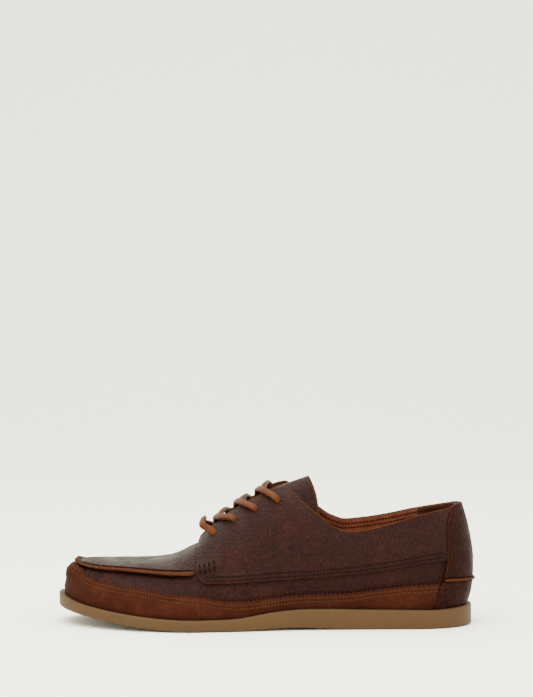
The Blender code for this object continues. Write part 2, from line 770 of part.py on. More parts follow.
def punch_holes(quarters, upper, cutters):
    """Four lace holes through each quarter and the upper under it."""
    depth = 12 * MM
    for made, side in ((quarters[0], 1), (quarters[1], -1)):
        for i, turn in enumerate(LACE_TURNS):
            rise = rise_at_width(turn, HOLE_FROM_RIDGE)
            centre = shoe_point(side * turn, rise)
            normal = shoe_normal(side * turn, rise)
            across = np.cross(normal, (1.0, 0.0, 0.0))
            across /= np.linalg.norm(across)
            along = np.cross(across, normal)
            ring = [
                (LACE_HOLE * math.cos(a), LACE_HOLE * math.sin(a))
                for a in np.linspace(0, 2 * math.pi, 11)[:-1]
            ]
            frames = [(centre + normal * h, across, along) for h in (-depth / 2, depth / 2)]
            cutter = swept(f"hole_{made.name}_{i + 1}", cutters, frames, ring)
            cutter.hide_render = True
            cutter.display_type = "WIRE"
            for target in (made, upper):
                cut = target.modifiers.new(cutter.name, "BOOLEAN")
                cut.operation = "DIFFERENCE"
                cut.object = cutter


def lace_seat(side, turn, out, lift):
    """(point, outward direction) over a quarter, or over the open throat between both: lift is from its top."""
    rim = shoe_point(side * turn, 2.0)
    half = abs(rim[1] - axis_y(rim[0] / SOLE_LENGTH))
    top = OVERLAY_GAP + QUARTER_LEATHER + GAP + LACE_THICKNESS / 2 + lift
    if out >= half:
        rise = rise_at_width(turn, out)
        normal = shoe_normal(side * turn, rise)
        return shoe_point(side * turn, rise) + normal * top, normal
    share = out / half if half else 0.0
    normal = shoe_normal(turn, 1.96) + shoe_normal(-turn, 1.96)
    normal = normal + (shoe_normal(side * turn, 1.96) * 2 - normal) * max(share, 0.0)
    normal /= np.linalg.norm(normal)
    crown = 0.15 * half * (1 - share**2)
    point = np.array([rim[0], axis_y(rim[0] / SOLE_LENGTH) + side * out, rim[2] + crown])
    return point + normal * top, normal


def lace_frames(seats, steps):
    """Frames for a lace through its seats, smoothed through four of them at a time."""
    frames = []
    last = len(seats) - 1
    for i in range(last):
        near = [seats[min(max(k, 0), last)] for k in (i - 1, i, i + 1, i + 2)]
        for k in range(steps if i < last - 1 else steps + 1):
            t = k / steps
            weights = (
                -t / 2 + t * t - t**3 / 2,
                1 - 2.5 * t * t + 1.5 * t**3,
                t / 2 + 2 * t * t - 1.5 * t**3,
                (t**3 - t * t) / 2,
            )
            point = sum(seat[0] * w for seat, w in zip(near, weights))
            normal = sum(seat[1] * w for seat, w in zip(near, weights))
            frames.append((point, normal))
    points = np.array([point for point, _ in frames])
    tangents = np.gradient(points, axis=0)
    made = []
    for (point, normal), tangent in zip(frames, tangents):
        across = np.cross(tangent, normal)
        across /= np.linalg.norm(across)
        up = np.cross(across, tangent)
        made.append((point, across, up / np.linalg.norm(up)))
    return made


def lace_profile():
    """A flat lace's section with its corners taken off."""
    w, t = LACE_WIDTH / 2, LACE_THICKNESS / 2
    return ((-w, 0), (-w * 0.72, -t), (w * 0.72, -t), (w, 0), (w * 0.72, t), (-w * 0.72, t))


def crossing_strand(side, row, lift):
    """Seats of one strand: from its hole forwards over its quarter's edge and down beside the other quarter."""
    hole, ahead = LACE_TURNS[row], LACE_TURNS[row - 1]
    third = (hole - ahead) / 3
    return [
        lace_seat(side, hole, HOLE_FROM_RIDGE, GAP),
        lace_seat(side, hole - 0.8 * third, HOLE_FROM_RIDGE - 5 * MM, GAP),
        lace_seat(side, hole - 1.7 * third, 10.0 * MM, 0.5 * MM),
        lace_seat(side, hole - 2.5 * third, 0.0, lift),
        lace_seat(-side, hole - 2.8 * third, 4.2 * MM, -2.4 * MM),
    ]


def build_laces(collection, cutters):
    """One bar over the foot of the throat, and a crossing of two strands ahead of each later pair of holes."""
    hole = LACE_TURNS[0]
    halves = []
    for side in (-1, 1):
        halves.append([
            lace_seat(side, hole, HOLE_FROM_RIDGE, 0.0),
            lace_seat(side, hole - 0.007, HOLE_FROM_RIDGE - 5.5 * MM, 1.0 * MM),
            lace_seat(side, hole - 0.014, 9.5 * MM, 4.4 * MM),
        ])
    seats = halves[0] + [lace_seat(1, hole - 0.010, 0.0, 5.0 * MM)] + halves[1][::-1]
    swept("lace_bar", collection, lace_frames(seats, 3), lace_profile())
    for row in (1, 2, 3):
        over = lace_frames(crossing_strand(1, row, 1.0 * MM), 3)
        under = lace_frames(crossing_strand(-1, row, -1.2 * MM), 3)
        made = swept(f"lace_cross_{row}", collection, over, lace_profile())
        other = swept(f"lace_under_{row}", cutters, under, lace_profile())
        other.hide_render = True
        other.display_type = "WIRE"
        join = made.modifiers.new("join", "BOOLEAN")
        join.operation = "UNION"
        join.object = other


def shade(made, colour, roughness):
    """Gives an object its own plain finish."""
    material = bpy.data.materials.new(made.name)
    material.use_nodes = True
    surface = material.node_tree.nodes["Principled BSDF"]
    surface.inputs["Base Color"].default_value = colour
    surface.inputs["Roughness"].default_value = roughness
    surface.inputs["Metallic"].default_value = 0.0
    made.data.materials.append(material)


def settle(parts, cutters):
    """Moves everything so that the origin is the centre of the bounding box's base."""
    bpy.context.view_layer.update()
    depsgraph = bpy.context.evaluated_depsgraph_get()
    corners = []
    for made in parts.objects:
        mesh = made.evaluated_get(depsgraph).to_mesh()
        places = np.array([v.co[:] for v in mesh.vertices])
        corners += [places.min(0), places.max(0)]
        made.evaluated_get(depsgraph).to_mesh_clear()
    low, high = np.min(corners, 0), np.max(corners, 0)
    middle = Vector(((low[0] + high[0]) / 2, (low[1] + high[1]) / 2, low[2]))
    for made in (*parts.objects, *cutters.objects):
        made.data.transform(Matrix.Translation(-middle))


FINISHES = {
    "outsole": (RUBBER_GUM, 0.55),
    "insole": (LEATHER_TAN, 0.60),
    "mudguard": (LEATHER_RUST, 0.80),
    "tongue": (LEATHER_DARK, 0.50),
    "lace": (LACE_TAN, 0.60),
}


def main():
    for old in list(bpy.data.objects):
        bpy.data.objects.remove(old, do_unlink=True)
    parts = bpy.data.collections.new("laced_moccasin")
    cutters = bpy.data.collections.new("cutters")
    for collection in (parts, cutters):
        bpy.context.scene.collection.children.link(collection)
    build_outsole(parts)
    build_insole(parts)
    upper = build_upper(parts)
    build_tongue(parts)
    build_apron(parts)
    build_moc_seam(parts)
    quarters = build_quarters(parts)
    build_mudguards(parts)
    build_heel(parts)
    punch_holes(quarters, upper, cutters)
    build_laces(parts, cutters)
    settle(parts, cutters)
    for made in parts.objects:
        finish = FINISHES.get(made.name.split("_")[0], (LEATHER_DARK, 0.45))
        shade(made, *finish)


main()
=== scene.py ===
"""The looks of the left laced moccasin shoe: leathers, rubber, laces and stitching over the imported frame.

Lengths are in metres. Like the solids, most pieces come from one surface of the upper. turn runs round the
shoe, 0 at the toe and 1 at the heel, positive on the outer side; rise runs up a section, 0 at the sole, 1 at the
level of the apron seam and 2 at the collar, the throat's edge or the ridge over the toes.
"""

import math
from functools import lru_cache

import bmesh
import bpy
import numpy as np
from bpy.props import FloatProperty, FloatVectorProperty, PointerProperty
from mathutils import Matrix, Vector


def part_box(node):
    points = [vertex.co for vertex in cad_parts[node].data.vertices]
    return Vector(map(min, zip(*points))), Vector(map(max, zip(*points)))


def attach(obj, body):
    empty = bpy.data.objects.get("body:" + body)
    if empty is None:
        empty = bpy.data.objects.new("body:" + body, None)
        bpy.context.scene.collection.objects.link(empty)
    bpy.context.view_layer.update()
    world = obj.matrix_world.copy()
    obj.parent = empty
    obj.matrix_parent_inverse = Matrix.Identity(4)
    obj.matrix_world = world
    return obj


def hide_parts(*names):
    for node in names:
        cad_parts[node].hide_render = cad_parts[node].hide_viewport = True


bl_info = {
    "name": "Laced moccasin looks",
    "version": (1, 0, 0),
    "blender": (4, 5, 0),
    "location": "View3D > Sidebar > Shoe",
    "description": "Builds the visible pieces of a left laced moccasin shoe",
    "category": "Object",
}

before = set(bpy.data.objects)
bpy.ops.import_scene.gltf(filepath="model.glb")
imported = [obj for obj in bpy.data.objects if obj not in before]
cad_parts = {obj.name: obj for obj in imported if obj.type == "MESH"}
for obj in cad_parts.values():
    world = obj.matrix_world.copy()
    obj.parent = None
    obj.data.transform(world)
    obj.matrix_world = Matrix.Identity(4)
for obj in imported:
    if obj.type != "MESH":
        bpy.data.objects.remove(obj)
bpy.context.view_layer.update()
MM = 0.001

# The last's own frame: heel at 0, middle line at 0, floor at 0
SOLE_LOW, SOLE_HIGH = (np.array(corner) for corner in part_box("outsole"))
SOLE_LENGTH = float(SOLE_HIGH[0] - SOLE_LOW[0])
BALL_WIDTH = 108 * MM
OUTER_REACH = 54.254 * MM
ORIGIN = np.array([SOLE_LOW[0], SOLE_HIGH[1] - OUTER_REACH, SOLE_LOW[2]])

TOE_SWING = 9 * MM
TOE_SPRING = 12.5 * MM
ARCH_RISE = 2 * MM
HEEL_THICKNESS = 14 * MM
FOREFOOT_THICKNESS = 8.4 * MM
TOE_TIP_THICKNESS = 9.8 * MM

LEDGE = 6.2 * MM
SEAM_HEIGHT = 32 * MM
INSTEP_HEIGHT = 84 * MM
HEEL_HEIGHT = 72.5 * MM
MUDGUARD_HEIGHT = 18 * MM
HEM_HEIGHT = 24 * MM
LIP_HEIGHT = 18.5 * MM
LIP_RISE = 2.5 * MM
INNER_COLLAR_RISE = 3.4 * MM
INNER_CORNER_RISE = 2.2 * MM
MARGIN_WIDTH = 9 * MM
# How far from the heel end the lining is painted darker, as painted shade inside the heel
HEEL_SHADE_REACH = 37 * MM

WALL = 2.0 * MM
QUARTER_LEATHER = 1.7 * MM
MUDGUARD_LEATHER = 1.6 * MM
APRON_LEATHER = 1.3 * MM
HEEL_LEATHER = 2.2 * MM
TONGUE_LEATHER = 2.0 * MM
INSOLE_THICKNESS = 3.2 * MM
GAP = 0.3 * MM
OVERLAY_GAP = 0.6 * MM
SEAM_WIDTH = 3.0 * MM
LACE_WIDTH = 4.6 * MM
LACE_THICKNESS = 3.0 * MM
LACE_HOLE = 2.3 * MM
HOLE_FROM_RIDGE = 20.0 * MM

THROAT_TURN = 0.37
QUARTER_TURN = 0.372
MUDGUARD_SPLIT = 0.376
GATHER_TURNS = 0.0165
# How far the apron seam leans outwards, as a share of its height
SEAM_LEAN = 1.0
# The way that the flat side of the lowest lace faces: forward and up
BAR_FACING = (0.62, 0.0, 0.78)
LACE_TURNS = (0.415, 0.457, 0.500, 0.543)
# The apron and its seam stop a little before the throat, at this share of the way to it
SEAM_SHARE = 0.993
# The apron seam's own puckers: turn of their middle and reach
SEAM_GATHERS = (0.09, 0.10)
# Where the apron starts to go down under the quarters
APRON_DIP = 0.350
LIP_STAND = 4.5 * MM
# Half of the split between two mudguards, and how far they stop short of the heel, in turns
SPLIT_TURNS = 0.000315
HEEL_CLEAR = 0.0018
# Points along each side of the upper, and along and up a quarter
SHELL_COLUMNS = 161
QUARTER_POINTS = (161, 46)

PAPER = (0.965, 0.955, 0.870, 1.0)
SKY = (0.90, 0.895, 0.785, 1.0)
SKY_STRENGTH = 2.7
# The camera: degrees over the floor, degrees that it looks down, distance, lens in mm, aim along the shoe
CAMERA_HEIGHT = 8.5
CAMERA_DIP = 1.41
CAMERA_DISTANCE = 1.612
CAMERA_LENS = 113.5
AIM_ALONG = 148.8 * MM

# Along the sole; its half width on the outer and on the inner side
PLAN = (
    (0.00, 0.335, 0.335), (0.12, 0.345, 0.345), (0.30, 0.365, 0.335), (0.45, 0.410, 0.335),
    (0.60, 0.485, 0.400), (0.70, 0.530, 0.455), (0.80, 0.520, 0.470), (1.00, 0.470, 0.460),
)
# Along the sole; its thickness
THICKNESS = (
    (0.000, 1.06 * HEEL_THICKNESS), (0.100, 0.96 * HEEL_THICKNESS), (0.190, 0.99 * HEEL_THICKNESS),
    (0.300, 1.02 * HEEL_THICKNESS), (0.385, 0.95 * HEEL_THICKNESS), (0.485, 0.82 * HEEL_THICKNESS),
    (0.590, 1.03 * FOREFOOT_THICKNESS), (0.650, 1.00 * FOREFOOT_THICKNESS), (0.830, 0.94 * FOREFOOT_THICKNESS),
    (0.930, 0.92 * FOREFOOT_THICKNESS), (1.000, TOE_TIP_THICKNESS),
)
# Turn; seam point: along, out, up; rim point: along, out, up; the wall's angles at the sole, under the seam,
# over the seam and at the rim
SECTIONS = (
    (0.000, 0.955, 0.000, 0.74 * SEAM_HEIGHT, 0.939, 0.000, 0.85 * SEAM_HEIGHT, 6, 13, 13, 10),
    (0.050, 0.946, 0.100, 0.79 * SEAM_HEIGHT, 0.927, 0.000, 0.90 * SEAM_HEIGHT, 6, 19, 15, 8),
    (0.100, 0.921, 0.180, 0.82 * SEAM_HEIGHT, 0.904, 0.000, 0.93 * SEAM_HEIGHT, 7, 28, 16, 5),
    (0.150, 0.882, 0.238, 0.86 * SEAM_HEIGHT, 0.870, 0.000, 0.96 * SEAM_HEIGHT, 7, 36, 16, 3),
    (0.200, 0.838, 0.276, 0.91 * SEAM_HEIGHT, 0.830, 0.000, 0.99 * SEAM_HEIGHT, 9, 41, 17, 2),
    (0.250, 0.789, 0.308, 0.94 * SEAM_HEIGHT, 0.785, 0.000, 1.05 * SEAM_HEIGHT, 11, 46, 20, 2),
    (0.300, 0.736, 0.337, 0.96 * SEAM_HEIGHT, 0.733, 0.000, 1.16 * SEAM_HEIGHT, 13, 51, 27, 3),
    (0.345, 0.688, 0.361, 0.99 * SEAM_HEIGHT, 0.690, 0.000, 1.355 * SEAM_HEIGHT, 14, 56, 38, 4),
    (0.370, 0.662, 0.368, 1.02 * SEAM_HEIGHT, 0.662, 0.000, 1.550 * SEAM_HEIGHT, 15, 58, 50, 6),
    (0.392, 0.640, 0.368, 1.06 * SEAM_HEIGHT, 0.641, 0.056, 1.740 * SEAM_HEIGHT, 15, 61, 57, 12),
    (0.420, 0.610, 0.361, 0.44 * INSTEP_HEIGHT, 0.612, 0.074, 0.755 * INSTEP_HEIGHT, 15, 64, 63, 18),
    (0.450, 0.578, 0.343, 0.49 * INSTEP_HEIGHT, 0.578, 0.079, 0.850 * INSTEP_HEIGHT, 15, 68, 66, 22),
    (0.500, 0.520, 0.317, 0.55 * INSTEP_HEIGHT, 0.518, 0.083, 0.945 * INSTEP_HEIGHT, 14, 72, 70, 28),
    (0.540, 0.473, 0.301, 0.57 * INSTEP_HEIGHT, 0.470, 0.093, 0.998 * INSTEP_HEIGHT, 13, 74, 73, 32),
    (0.556, 0.454, 0.300, 0.57 * INSTEP_HEIGHT, 0.450, 0.110, 1.000 * INSTEP_HEIGHT, 13, 75, 74, 36),
    (0.570, 0.437, 0.303, 0.55 * INSTEP_HEIGHT, 0.431, 0.155, 0.955 * INSTEP_HEIGHT, 13, 77, 76, 46),
    (0.590, 0.413, 0.309, 0.51 * INSTEP_HEIGHT, 0.406, 0.199, 0.868 * INSTEP_HEIGHT, 13, 80, 79, 55),
    (0.620, 0.377, 0.315, 0.47 * INSTEP_HEIGHT, 0.371, 0.238, 0.770 * INSTEP_HEIGHT, 13, 82, 82, 62),
    (0.650, 0.341, 0.319, 0.43 * INSTEP_HEIGHT, 0.337, 0.260, 0.682 * INSTEP_HEIGHT, 13, 84, 84, 67),
    (0.680, 0.306, 0.322, 0.47 * HEEL_HEIGHT, 0.303, 0.270, 0.745 * HEEL_HEIGHT, 13, 85, 85, 70),
    (0.720, 0.259, 0.322, 0.47 * HEEL_HEIGHT, 0.257, 0.273, 0.770 * HEEL_HEIGHT, 13, 86, 86, 72),
    (0.770, 0.200, 0.322, 0.47 * HEEL_HEIGHT, 0.200, 0.266, 0.832 * HEEL_HEIGHT, 14, 87, 87, 73),
    (0.830, 0.131, 0.308, 0.47 * HEEL_HEIGHT, 0.132, 0.240, 0.922 * HEEL_HEIGHT, 16, 88, 88, 74),
    (0.880, 0.076, 0.262, 0.47 * HEEL_HEIGHT, 0.083, 0.190, 0.965 * HEEL_HEIGHT, 19, 90, 88, 73),
    (0.920, 0.036, 0.192, 0.47 * HEEL_HEIGHT, 0.054, 0.130, 0.988 * HEEL_HEIGHT, 22, 90, 86, 72),
    (0.960, 0.012, 0.098, 0.47 * HEEL_HEIGHT, 0.038, 0.064, 0.998 * HEEL_HEIGHT, 24, 90, 84, 71),
    (1.000, 0.004, 0.000, 0.47 * HEEL_HEIGHT, 0.032, 0.000, 1.000 * HEEL_HEIGHT, 25, 90, 83, 71),
)
HANDLE = 0.38
# The inner side's edge stands higher: turn of the middle, reach in turns, rise
INNER_RISES = ((0.553, 0.060, INNER_CORNER_RISE), (0.690, 0.155, INNER_COLLAR_RISE))
# Turn; height of the mudguard's upper edge
MUDGUARD_TOP = (
    (0.000, 1.25), (0.070, 1.25), (0.090, 1.22), (0.105, 1.14), (0.130, 1.07), (0.150, 1.03), (0.200, 1.02),
    (0.250, 1.00), (0.310, 0.93), (0.376, 0.87), (0.415, 0.77), (0.480, 0.64), (0.530, 0.59), (0.610, 0.60),
    (0.680, 0.65), (0.755, 0.84), (0.825, 1.00), (0.900, 1.05),
)
# Turn; height of the quarters' lower edge
QUARTER_HEM = (
    (0.372, 1.02), (0.440, 1.02), (0.520, 0.94), (0.590, 0.90), (0.670, 1.00), (0.780, 1.24), (0.860, 1.44),
    (0.900, 1.47),
)
# Share of the way up a quarter; turn of its front edge
QUARTER_FRONT = (
    (0.00, QUARTER_TURN + 0.0200), (0.02, QUARTER_TURN + 0.0115), (0.06, QUARTER_TURN + 0.0045),
    (0.13, QUARTER_TURN), (0.50, QUARTER_TURN + 0.0020), (1.00, QUARTER_TURN + 0.0090),
)
# Rise; turn of the heel pieces' front edge
HEEL_EDGE = ((0.00, 0.870), (0.50, 0.884), (0.90, 0.889), (1.50, 0.891), (1.80, 0.899), (2.00, 0.926))
# Turn; middle of the tongue: along, up; rise of its two side edges
TONGUE = (
    (0.340, 0.693, 0.470, 1.62), (0.370, 0.662, 0.545, 1.62), (0.392, 0.641, 0.620, 1.60),
    (0.420, 0.612, 0.742, 1.55), (0.450, 0.578, 0.843, 1.50), (0.500, 0.518, 0.945, 1.50),
    (0.540, 0.470, 1.005, 1.52), (0.556, 0.450, 1.030, 1.54), (0.570, 0.436, 1.046, 1.58),
    (0.590, 0.414, 1.070, 1.66), (0.622, 0.394, 1.094, 1.76),
)
# Creases: along and up in mm, slope, reach and depth in mm
CREASES = (
    (215.0, 36.0, 0.10, 16.0, 0.30), (46.0, 57.5, -1.35, 5.0, 0.34), (42.0, 59.5, -1.30, 6.0, 0.42),
    (38.0, 61.5, -1.30, 6.5, 0.46), (34.0, 63.5, -1.40, 6.0, 0.38), (30.0, 66.0, -1.45, 5.0, 0.30),
    (160.0, 46.0, -0.20, 15.0, 0.34), (166.0, 41.5, -0.08, 13.0, 0.36), (120.0, 60.0, -0.90, 13.0, 0.24),
    (86.0, 57.0, 3.2, 2.2, 0.26), (80.0, 58.0, 3.6, 2.2, 0.30), (74.0, 59.0, 3.8, 2.2, 0.26),
    (68.0, 60.0, 3.8, 2.2, 0.20), (140.0, 52.0, -0.50, 12.0, 0.20), (190.0, 35.0, 0.15, 12.0, 0.26),
)
# A crease's valley: its reach; the low ridge above it: place and reach
CREASE_REACH = 1.5 * MM
CREASE_RIDGE = (3.0 * MM, 1.8 * MM)
# Waves round the toe: height over the floor of their middle, reach, and how far they stand out
TOE_WAVES = ((31.0 * MM, 2.4 * MM, -0.9 * MM), (37.0 * MM, 3.0 * MM, 0.5 * MM))
TOE_WAVE_TURNS = 0.075
# Behind this place along the shoe there are no gathers
HEEL_PART = 0.2 * SOLE_LENGTH
# Gathers beside the apron seam: turn of their middle and reach, height of their middle and reach, depth
GATHERS = (0.095, 0.075, 36.5 * MM, 4.0 * MM, 0.75 * MM)
# The hollow under the apron seam: rise of its middle, reach in rises, depth
SEAM_HOLLOW = (0.955, 0.034, 1.7 * MM)
# Sections of the apron seam and of the lip at the heel: across and up, as shares of their sizes
SEAM_SHAPE = (
    (-0.85, 0.10), (-1.0, 0.35), (-1.05, 0.62), (-0.92, 0.86), (-0.5, 1.0), (0.1, 1.0), (0.55, 0.9),
    (0.8, 0.66), (0.85, 0.4), (1.0, 0.16), (1.15, 0.05), (0.0, -0.05),
)
LIP_SHAPE = (
    (-0.9, 0.06), (-0.95, 0.5), (-0.98, 0.8), (-0.7, 0.97), (-0.2, 1.0), (0.4, 0.99), (0.85, 0.85),
    (0.95, 0.5), (0.9, 0.06), (0.0, 0.03),
)
LACE_SHAPE = ((1.0, 0.0), (1.0, 0.5), (0.88, 0.86), (0.6, 1.0), (0.2, 1.04))
# A lace's way into a hole: distance from the hole's middle towards the throat, lift
INTO_HOLE = ((0.0, -5.5 * MM), (0.4 * MM, -1.6 * MM))
# The lowest lace from a hole to its middle: turns ahead of the hole, out from the middle line, lift
BAR_SEATS = (
    (0.004, HOLE_FROM_RIDGE - 3 * MM, 0.3 * MM), (0.009, HOLE_FROM_RIDGE - 6.5 * MM, 1.4 * MM),
    (0.014, 9.5 * MM, 4.5 * MM),
)
BAR_MIDDLE = (0.010, 0.0, 5.1 * MM)
# The crossed laces: side, thirds of the way to the holes ahead, out from the middle line, lift
UNDER_SEATS = (
    (-1, 0.5, HOLE_FROM_RIDGE - 3 * MM, 0.3 * MM), (-1, 0.9, 13 * MM, 0.5 * MM), (-1, 1.3, 7.5 * MM, 0.5 * MM),
    (1, 1.7, 0.0, 0.1 * MM), (1, 1.95, 5.5 * MM, -1.6 * MM), (1, 2.05, 9 * MM, -5.2 * MM),
)
OVER_SEATS = (
    (1, 0.5, HOLE_FROM_RIDGE - 2.2 * MM, 0.2 * MM), (1, 1.7, 11.0 * MM, 0.7 * MM), (1, 2.4, 2 * MM, 0.4 * MM),
    (-1, 2.7, 3.5 * MM, -1.0 * MM), (-1, 3.1, 8 * MM, -5.2 * MM),
)
# Lights: name, place from the shoe, size in metres, power in watts
LIGHTS = (
    ("key_light", (0.45, 0.9, 1.5), 1.4, 54.0),
    ("fill_light", (-1.2, 1.1, 1.0), 1.6, 20.0),
    ("top_light", (0.1, -0.5, 1.7), 1.8, 40.0),
)


def table(rows, at, column=1):
    """Reads one column of a table between its rows, with no overshoot."""
    places = [row[0] for row in rows]
    values = [row[column] for row in rows]
    at = min(max(at, places[0]), places[-1])
    steps = [b - a for a, b in zip(places, places[1:])]
    slopes = [(b - a) / step for a, b, step in zip(values, values[1:], steps)]
    ends = [slopes[0]]
    for i in range(1, len(slopes)):
        before, after = slopes[i - 1], slopes[i]
        if before * after <= 0:
            ends.append(0.0)
            continue
        low = (2 * steps[i] + steps[i - 1]) / before
        high = (steps[i] + 2 * steps[i - 1]) / after
        ends.append(3 * (steps[i - 1] + steps[i]) / (low + high))
    ends.append(slopes[-1])
    i = max(k for k in range(len(steps)) if at >= places[k])
    t = (at - places[i]) / steps[i]
    return (
        (2 * t**3 - 3 * t**2 + 1) * values[i]
        + (t**3 - 2 * t**2 + t) * steps[i] * ends[i]
        + (3 * t**2 - 2 * t**3) * values[i + 1]
        + (t**3 - t**2) * steps[i] * ends[i + 1]
    )


def ease(t):
    """Smooth step from 0 to 1."""
    t = min(max(t, 0.0), 1.0)
    return t * t * (3 - 2 * t)


def bump_at(x, centre, width):
    """A soft hump of height 1 round a place."""
    return np.exp(-(((x - centre) / width) ** 2))


def unit(vectors):
    """A vector, or each row of an array, at length 1."""
    if vectors.ndim == 1:
        return vectors / np.linalg.norm(vectors)
    return vectors / np.linalg.norm(vectors, axis=1)[:, None]


def square_to(vector, axis):
    """What is left of a vector without its share along an axis of length 1."""
    return vector - axis * vector.dot(axis)


def run_lengths(points):
    """Lengths along a row of points, from its first point."""
    return np.concatenate([[0], np.cumsum(np.linalg.norm(np.diff(points, axis=0), axis=1))])


def axis_y(along):
    return -TOE_SWING * ease((along - 0.5) / 0.5)


def sole_bottom(along):
    spring = max(0.0, (along - 0.66) / 0.34)
    arch = min(max((along - 0.27) / 0.32, 0.0), 1.0)
    return TOE_SPRING * spring**1.7 + ARCH_RISE * math.sin(math.pi * arch) ** 2


def sole_top(along):
    return sole_bottom(along) + table(THICKNESS, along)


def half_width(along, column):
    width = table(PLAN, along, column) * BALL_WIDTH
    toe = max(0.0, (along - 0.72) / 0.28)
    heel = max(0.0, (0.14 - along) / 0.14)
    width *= max(0.0, 1 - toe**2.3) ** (1 / 2.3)
    return width * max(0.0, 1 - heel**2.2) ** (1 / 2.2)


@lru_cache(maxsize=None)
def outline(side, inset):
    """One side of the sole's outline from toe to heel, moved in: (length along it, points, normals)."""
    column = 1 if side > 0 else 2
    along = 0.5 + 0.5 * np.cos(np.linspace(0, math.pi, 361))
    along[0], along[-1] = 1.0, 0.0
    points = np.array([(a * SOLE_LENGTH, axis_y(a) + side * half_width(a, column)) for a in along])
    tangents = np.gradient(points, axis=0)
    tangents[0] = (0, side)
    tangents[-1] = (0, -side)
    normals = unit(np.stack([tangents[:, 1], -tangents[:, 0]], 1) * side)
    points = points - normals * inset
    return run_lengths(points), points, normals


def plan_point(turn, inset):
    """(point, outward normal) of the inset outline at a turn."""
    side = 1 if turn >= 0 else -1
    length, points, normals = outline(side, inset)
    at = abs(turn) * length[-1]
    point, normal = (
        np.array([np.interp(at, length, rows[:, k]) for k in (0, 1)]) for rows in (points, normals)
    )
    return point, unit(normal)


def placed(along, out, up, side):
    return np.array([along * SOLE_LENGTH, axis_y(along) + side * out * BALL_WIDTH, sole_top(along) + up])


def lifted(plan, degrees):
    angle = math.radians(degrees)
    return np.array([plan[0] * math.cos(angle), plan[1] * math.cos(angle), math.sin(angle)])


def wrapped(turn):
    return turn - 2 if turn > 1 else turn + 2 if turn < -1 else turn


@lru_cache(maxsize=None)
def section(turn):
    """The two Bezier curves of the upper's section at a turn, and its outward level normal."""
    side = 1 if turn >= 0 else -1
    values = [table(SECTIONS, abs(turn), column) for column in range(1, 11)]
    foot, normal = plan_point(turn, LEDGE)
    foot = np.array([*foot, sole_top(foot[0] / SOLE_LENGTH) + GAP])
    seam = placed(*values[0:3], side)
    rim = placed(*values[3:6], side)
    if side < 0:
        for middle, reach, rise in INNER_RISES:
            rim[2] += rise * ease(1 - abs(abs(turn) - middle) / reach)
    tilt, below, above, end = values[6:10]
    inward = unit(rim[:2] - seam[:2])
    low = np.linalg.norm(seam - foot) * HANDLE
    high = np.linalg.norm(rim - seam) * HANDLE
    wall = (foot, foot + lifted(normal, 90 - tilt) * low, seam - lifted(-normal, below) * low, seam)
    top = (seam, seam + lifted(-normal, above) * high, rim - lifted(inward, end) * high, rim)
    return wall, top, normal


def bezier(points, t):
    """Points on a cubic Bezier curve, for an array of places."""
    a, b, c, d = points
    t = np.asarray(t)[:, None]
    u = 1 - t
    return a * u**3 + 3 * b * u * u * t + 3 * c * u * t * t + d * t**3


def plain_row(turn, rises):
    """Points of the upper's smooth surface at one turn."""
    wall, top, _ = section(round(wrapped(turn), 7))
    rises = np.asarray(rises, dtype=float)
    under = bezier(wall, np.clip(rises, 0, 1))
    over = bezier(top, np.clip(rises - 1, 0, 1))
    return np.where((rises <= 1)[:, None], under, over)


def normal_row(turn, rises):
    """Outward normals of the upper's smooth surface at one turn."""
    rises = np.minimum(np.asarray(rises, dtype=float), 1.96)
    across = plain_row(turn, rises + 0.02) - plain_row(turn, np.maximum(rises - 0.02, 0.0))
    along = plain_row(turn + 0.004, rises) - plain_row(turn - 0.004, rises)
    return unit(np.cross(along, across))


def relief(turn, points):
    """Soft creases and dents of the worn-in leather, as heights over the smooth surface."""
    x, up = points[:, 0], points[:, 2]
    side = abs(turn)
    height = np.zeros(len(points))
    toe = bump_at(side, 0.0, TOE_WAVE_TURNS)
    for middle, reach, out in TOE_WAVES:
        height += out * toe * bump_at(up, middle, reach)
    place, turns, middle, reach, depth = GATHERS
    gathers = math.sin(side * 2 * math.pi / GATHER_TURNS)
    height += depth * bump_at(side, place, turns) * gathers * bump_at(up, middle, reach) * (x > HEEL_PART)
    for crease_x, crease_z, slope, width, depth in CREASES:
        across = (up - crease_z * MM) - slope * (x - crease_x * MM)
        reach = bump_at(x, crease_x * MM, width * MM)
        height -= depth * MM * reach * bump_at(across, 0.0, CREASE_REACH)
        height += 0.5 * depth * MM * reach * bump_at(across, *CREASE_RIDGE)
    return height


def surface_row(turn, rises, height):
    """Points over the creased surface by a height, and the smooth normals there."""
    points = plain_row(turn, rises)
    normals = normal_row(turn, rises)
    middle, reach, depth = SEAM_HOLLOW
    fade = ease((0.362 - abs(wrapped(turn))) / 0.05)
    hollow = depth * fade * bump_at(np.asarray(rises, dtype=float), middle, reach)
    return points + normals * (relief(turn, points) + height - hollow)[:, None], normals


@lru_cache(maxsize=None)
def profile(turn):
    """A dense section: its rises, lengths from the foot and heights over the sole."""
    rises = np.linspace(0, 2, 121)
    points = plain_row(turn, rises)
    return rises, run_lengths(points), points[:, 2] - points[0, 2] + GAP


def rise_at_height(turn, height):
    rises, _, heights = profile(round(wrapped(turn), 7))
    return float(np.interp(height, heights, rises))


def rise_from(turn, rise, distance):
    rises, lengths, _ = profile(round(wrapped(turn), 7))
    return float(np.interp(np.interp(rise, rises, lengths) + distance, lengths, rises))


def rise_at_width(turn, out):
    """The rise on the instep where a section is a distance out from the middle line."""
    rises = np.linspace(1, 2, 81)
    points = plain_row(turn, rises)
    axis = np.array([axis_y(x / SOLE_LENGTH) for x in points[:, 0]])
    return float(np.interp(-out, -np.abs(points[:, 1] - axis), rises))


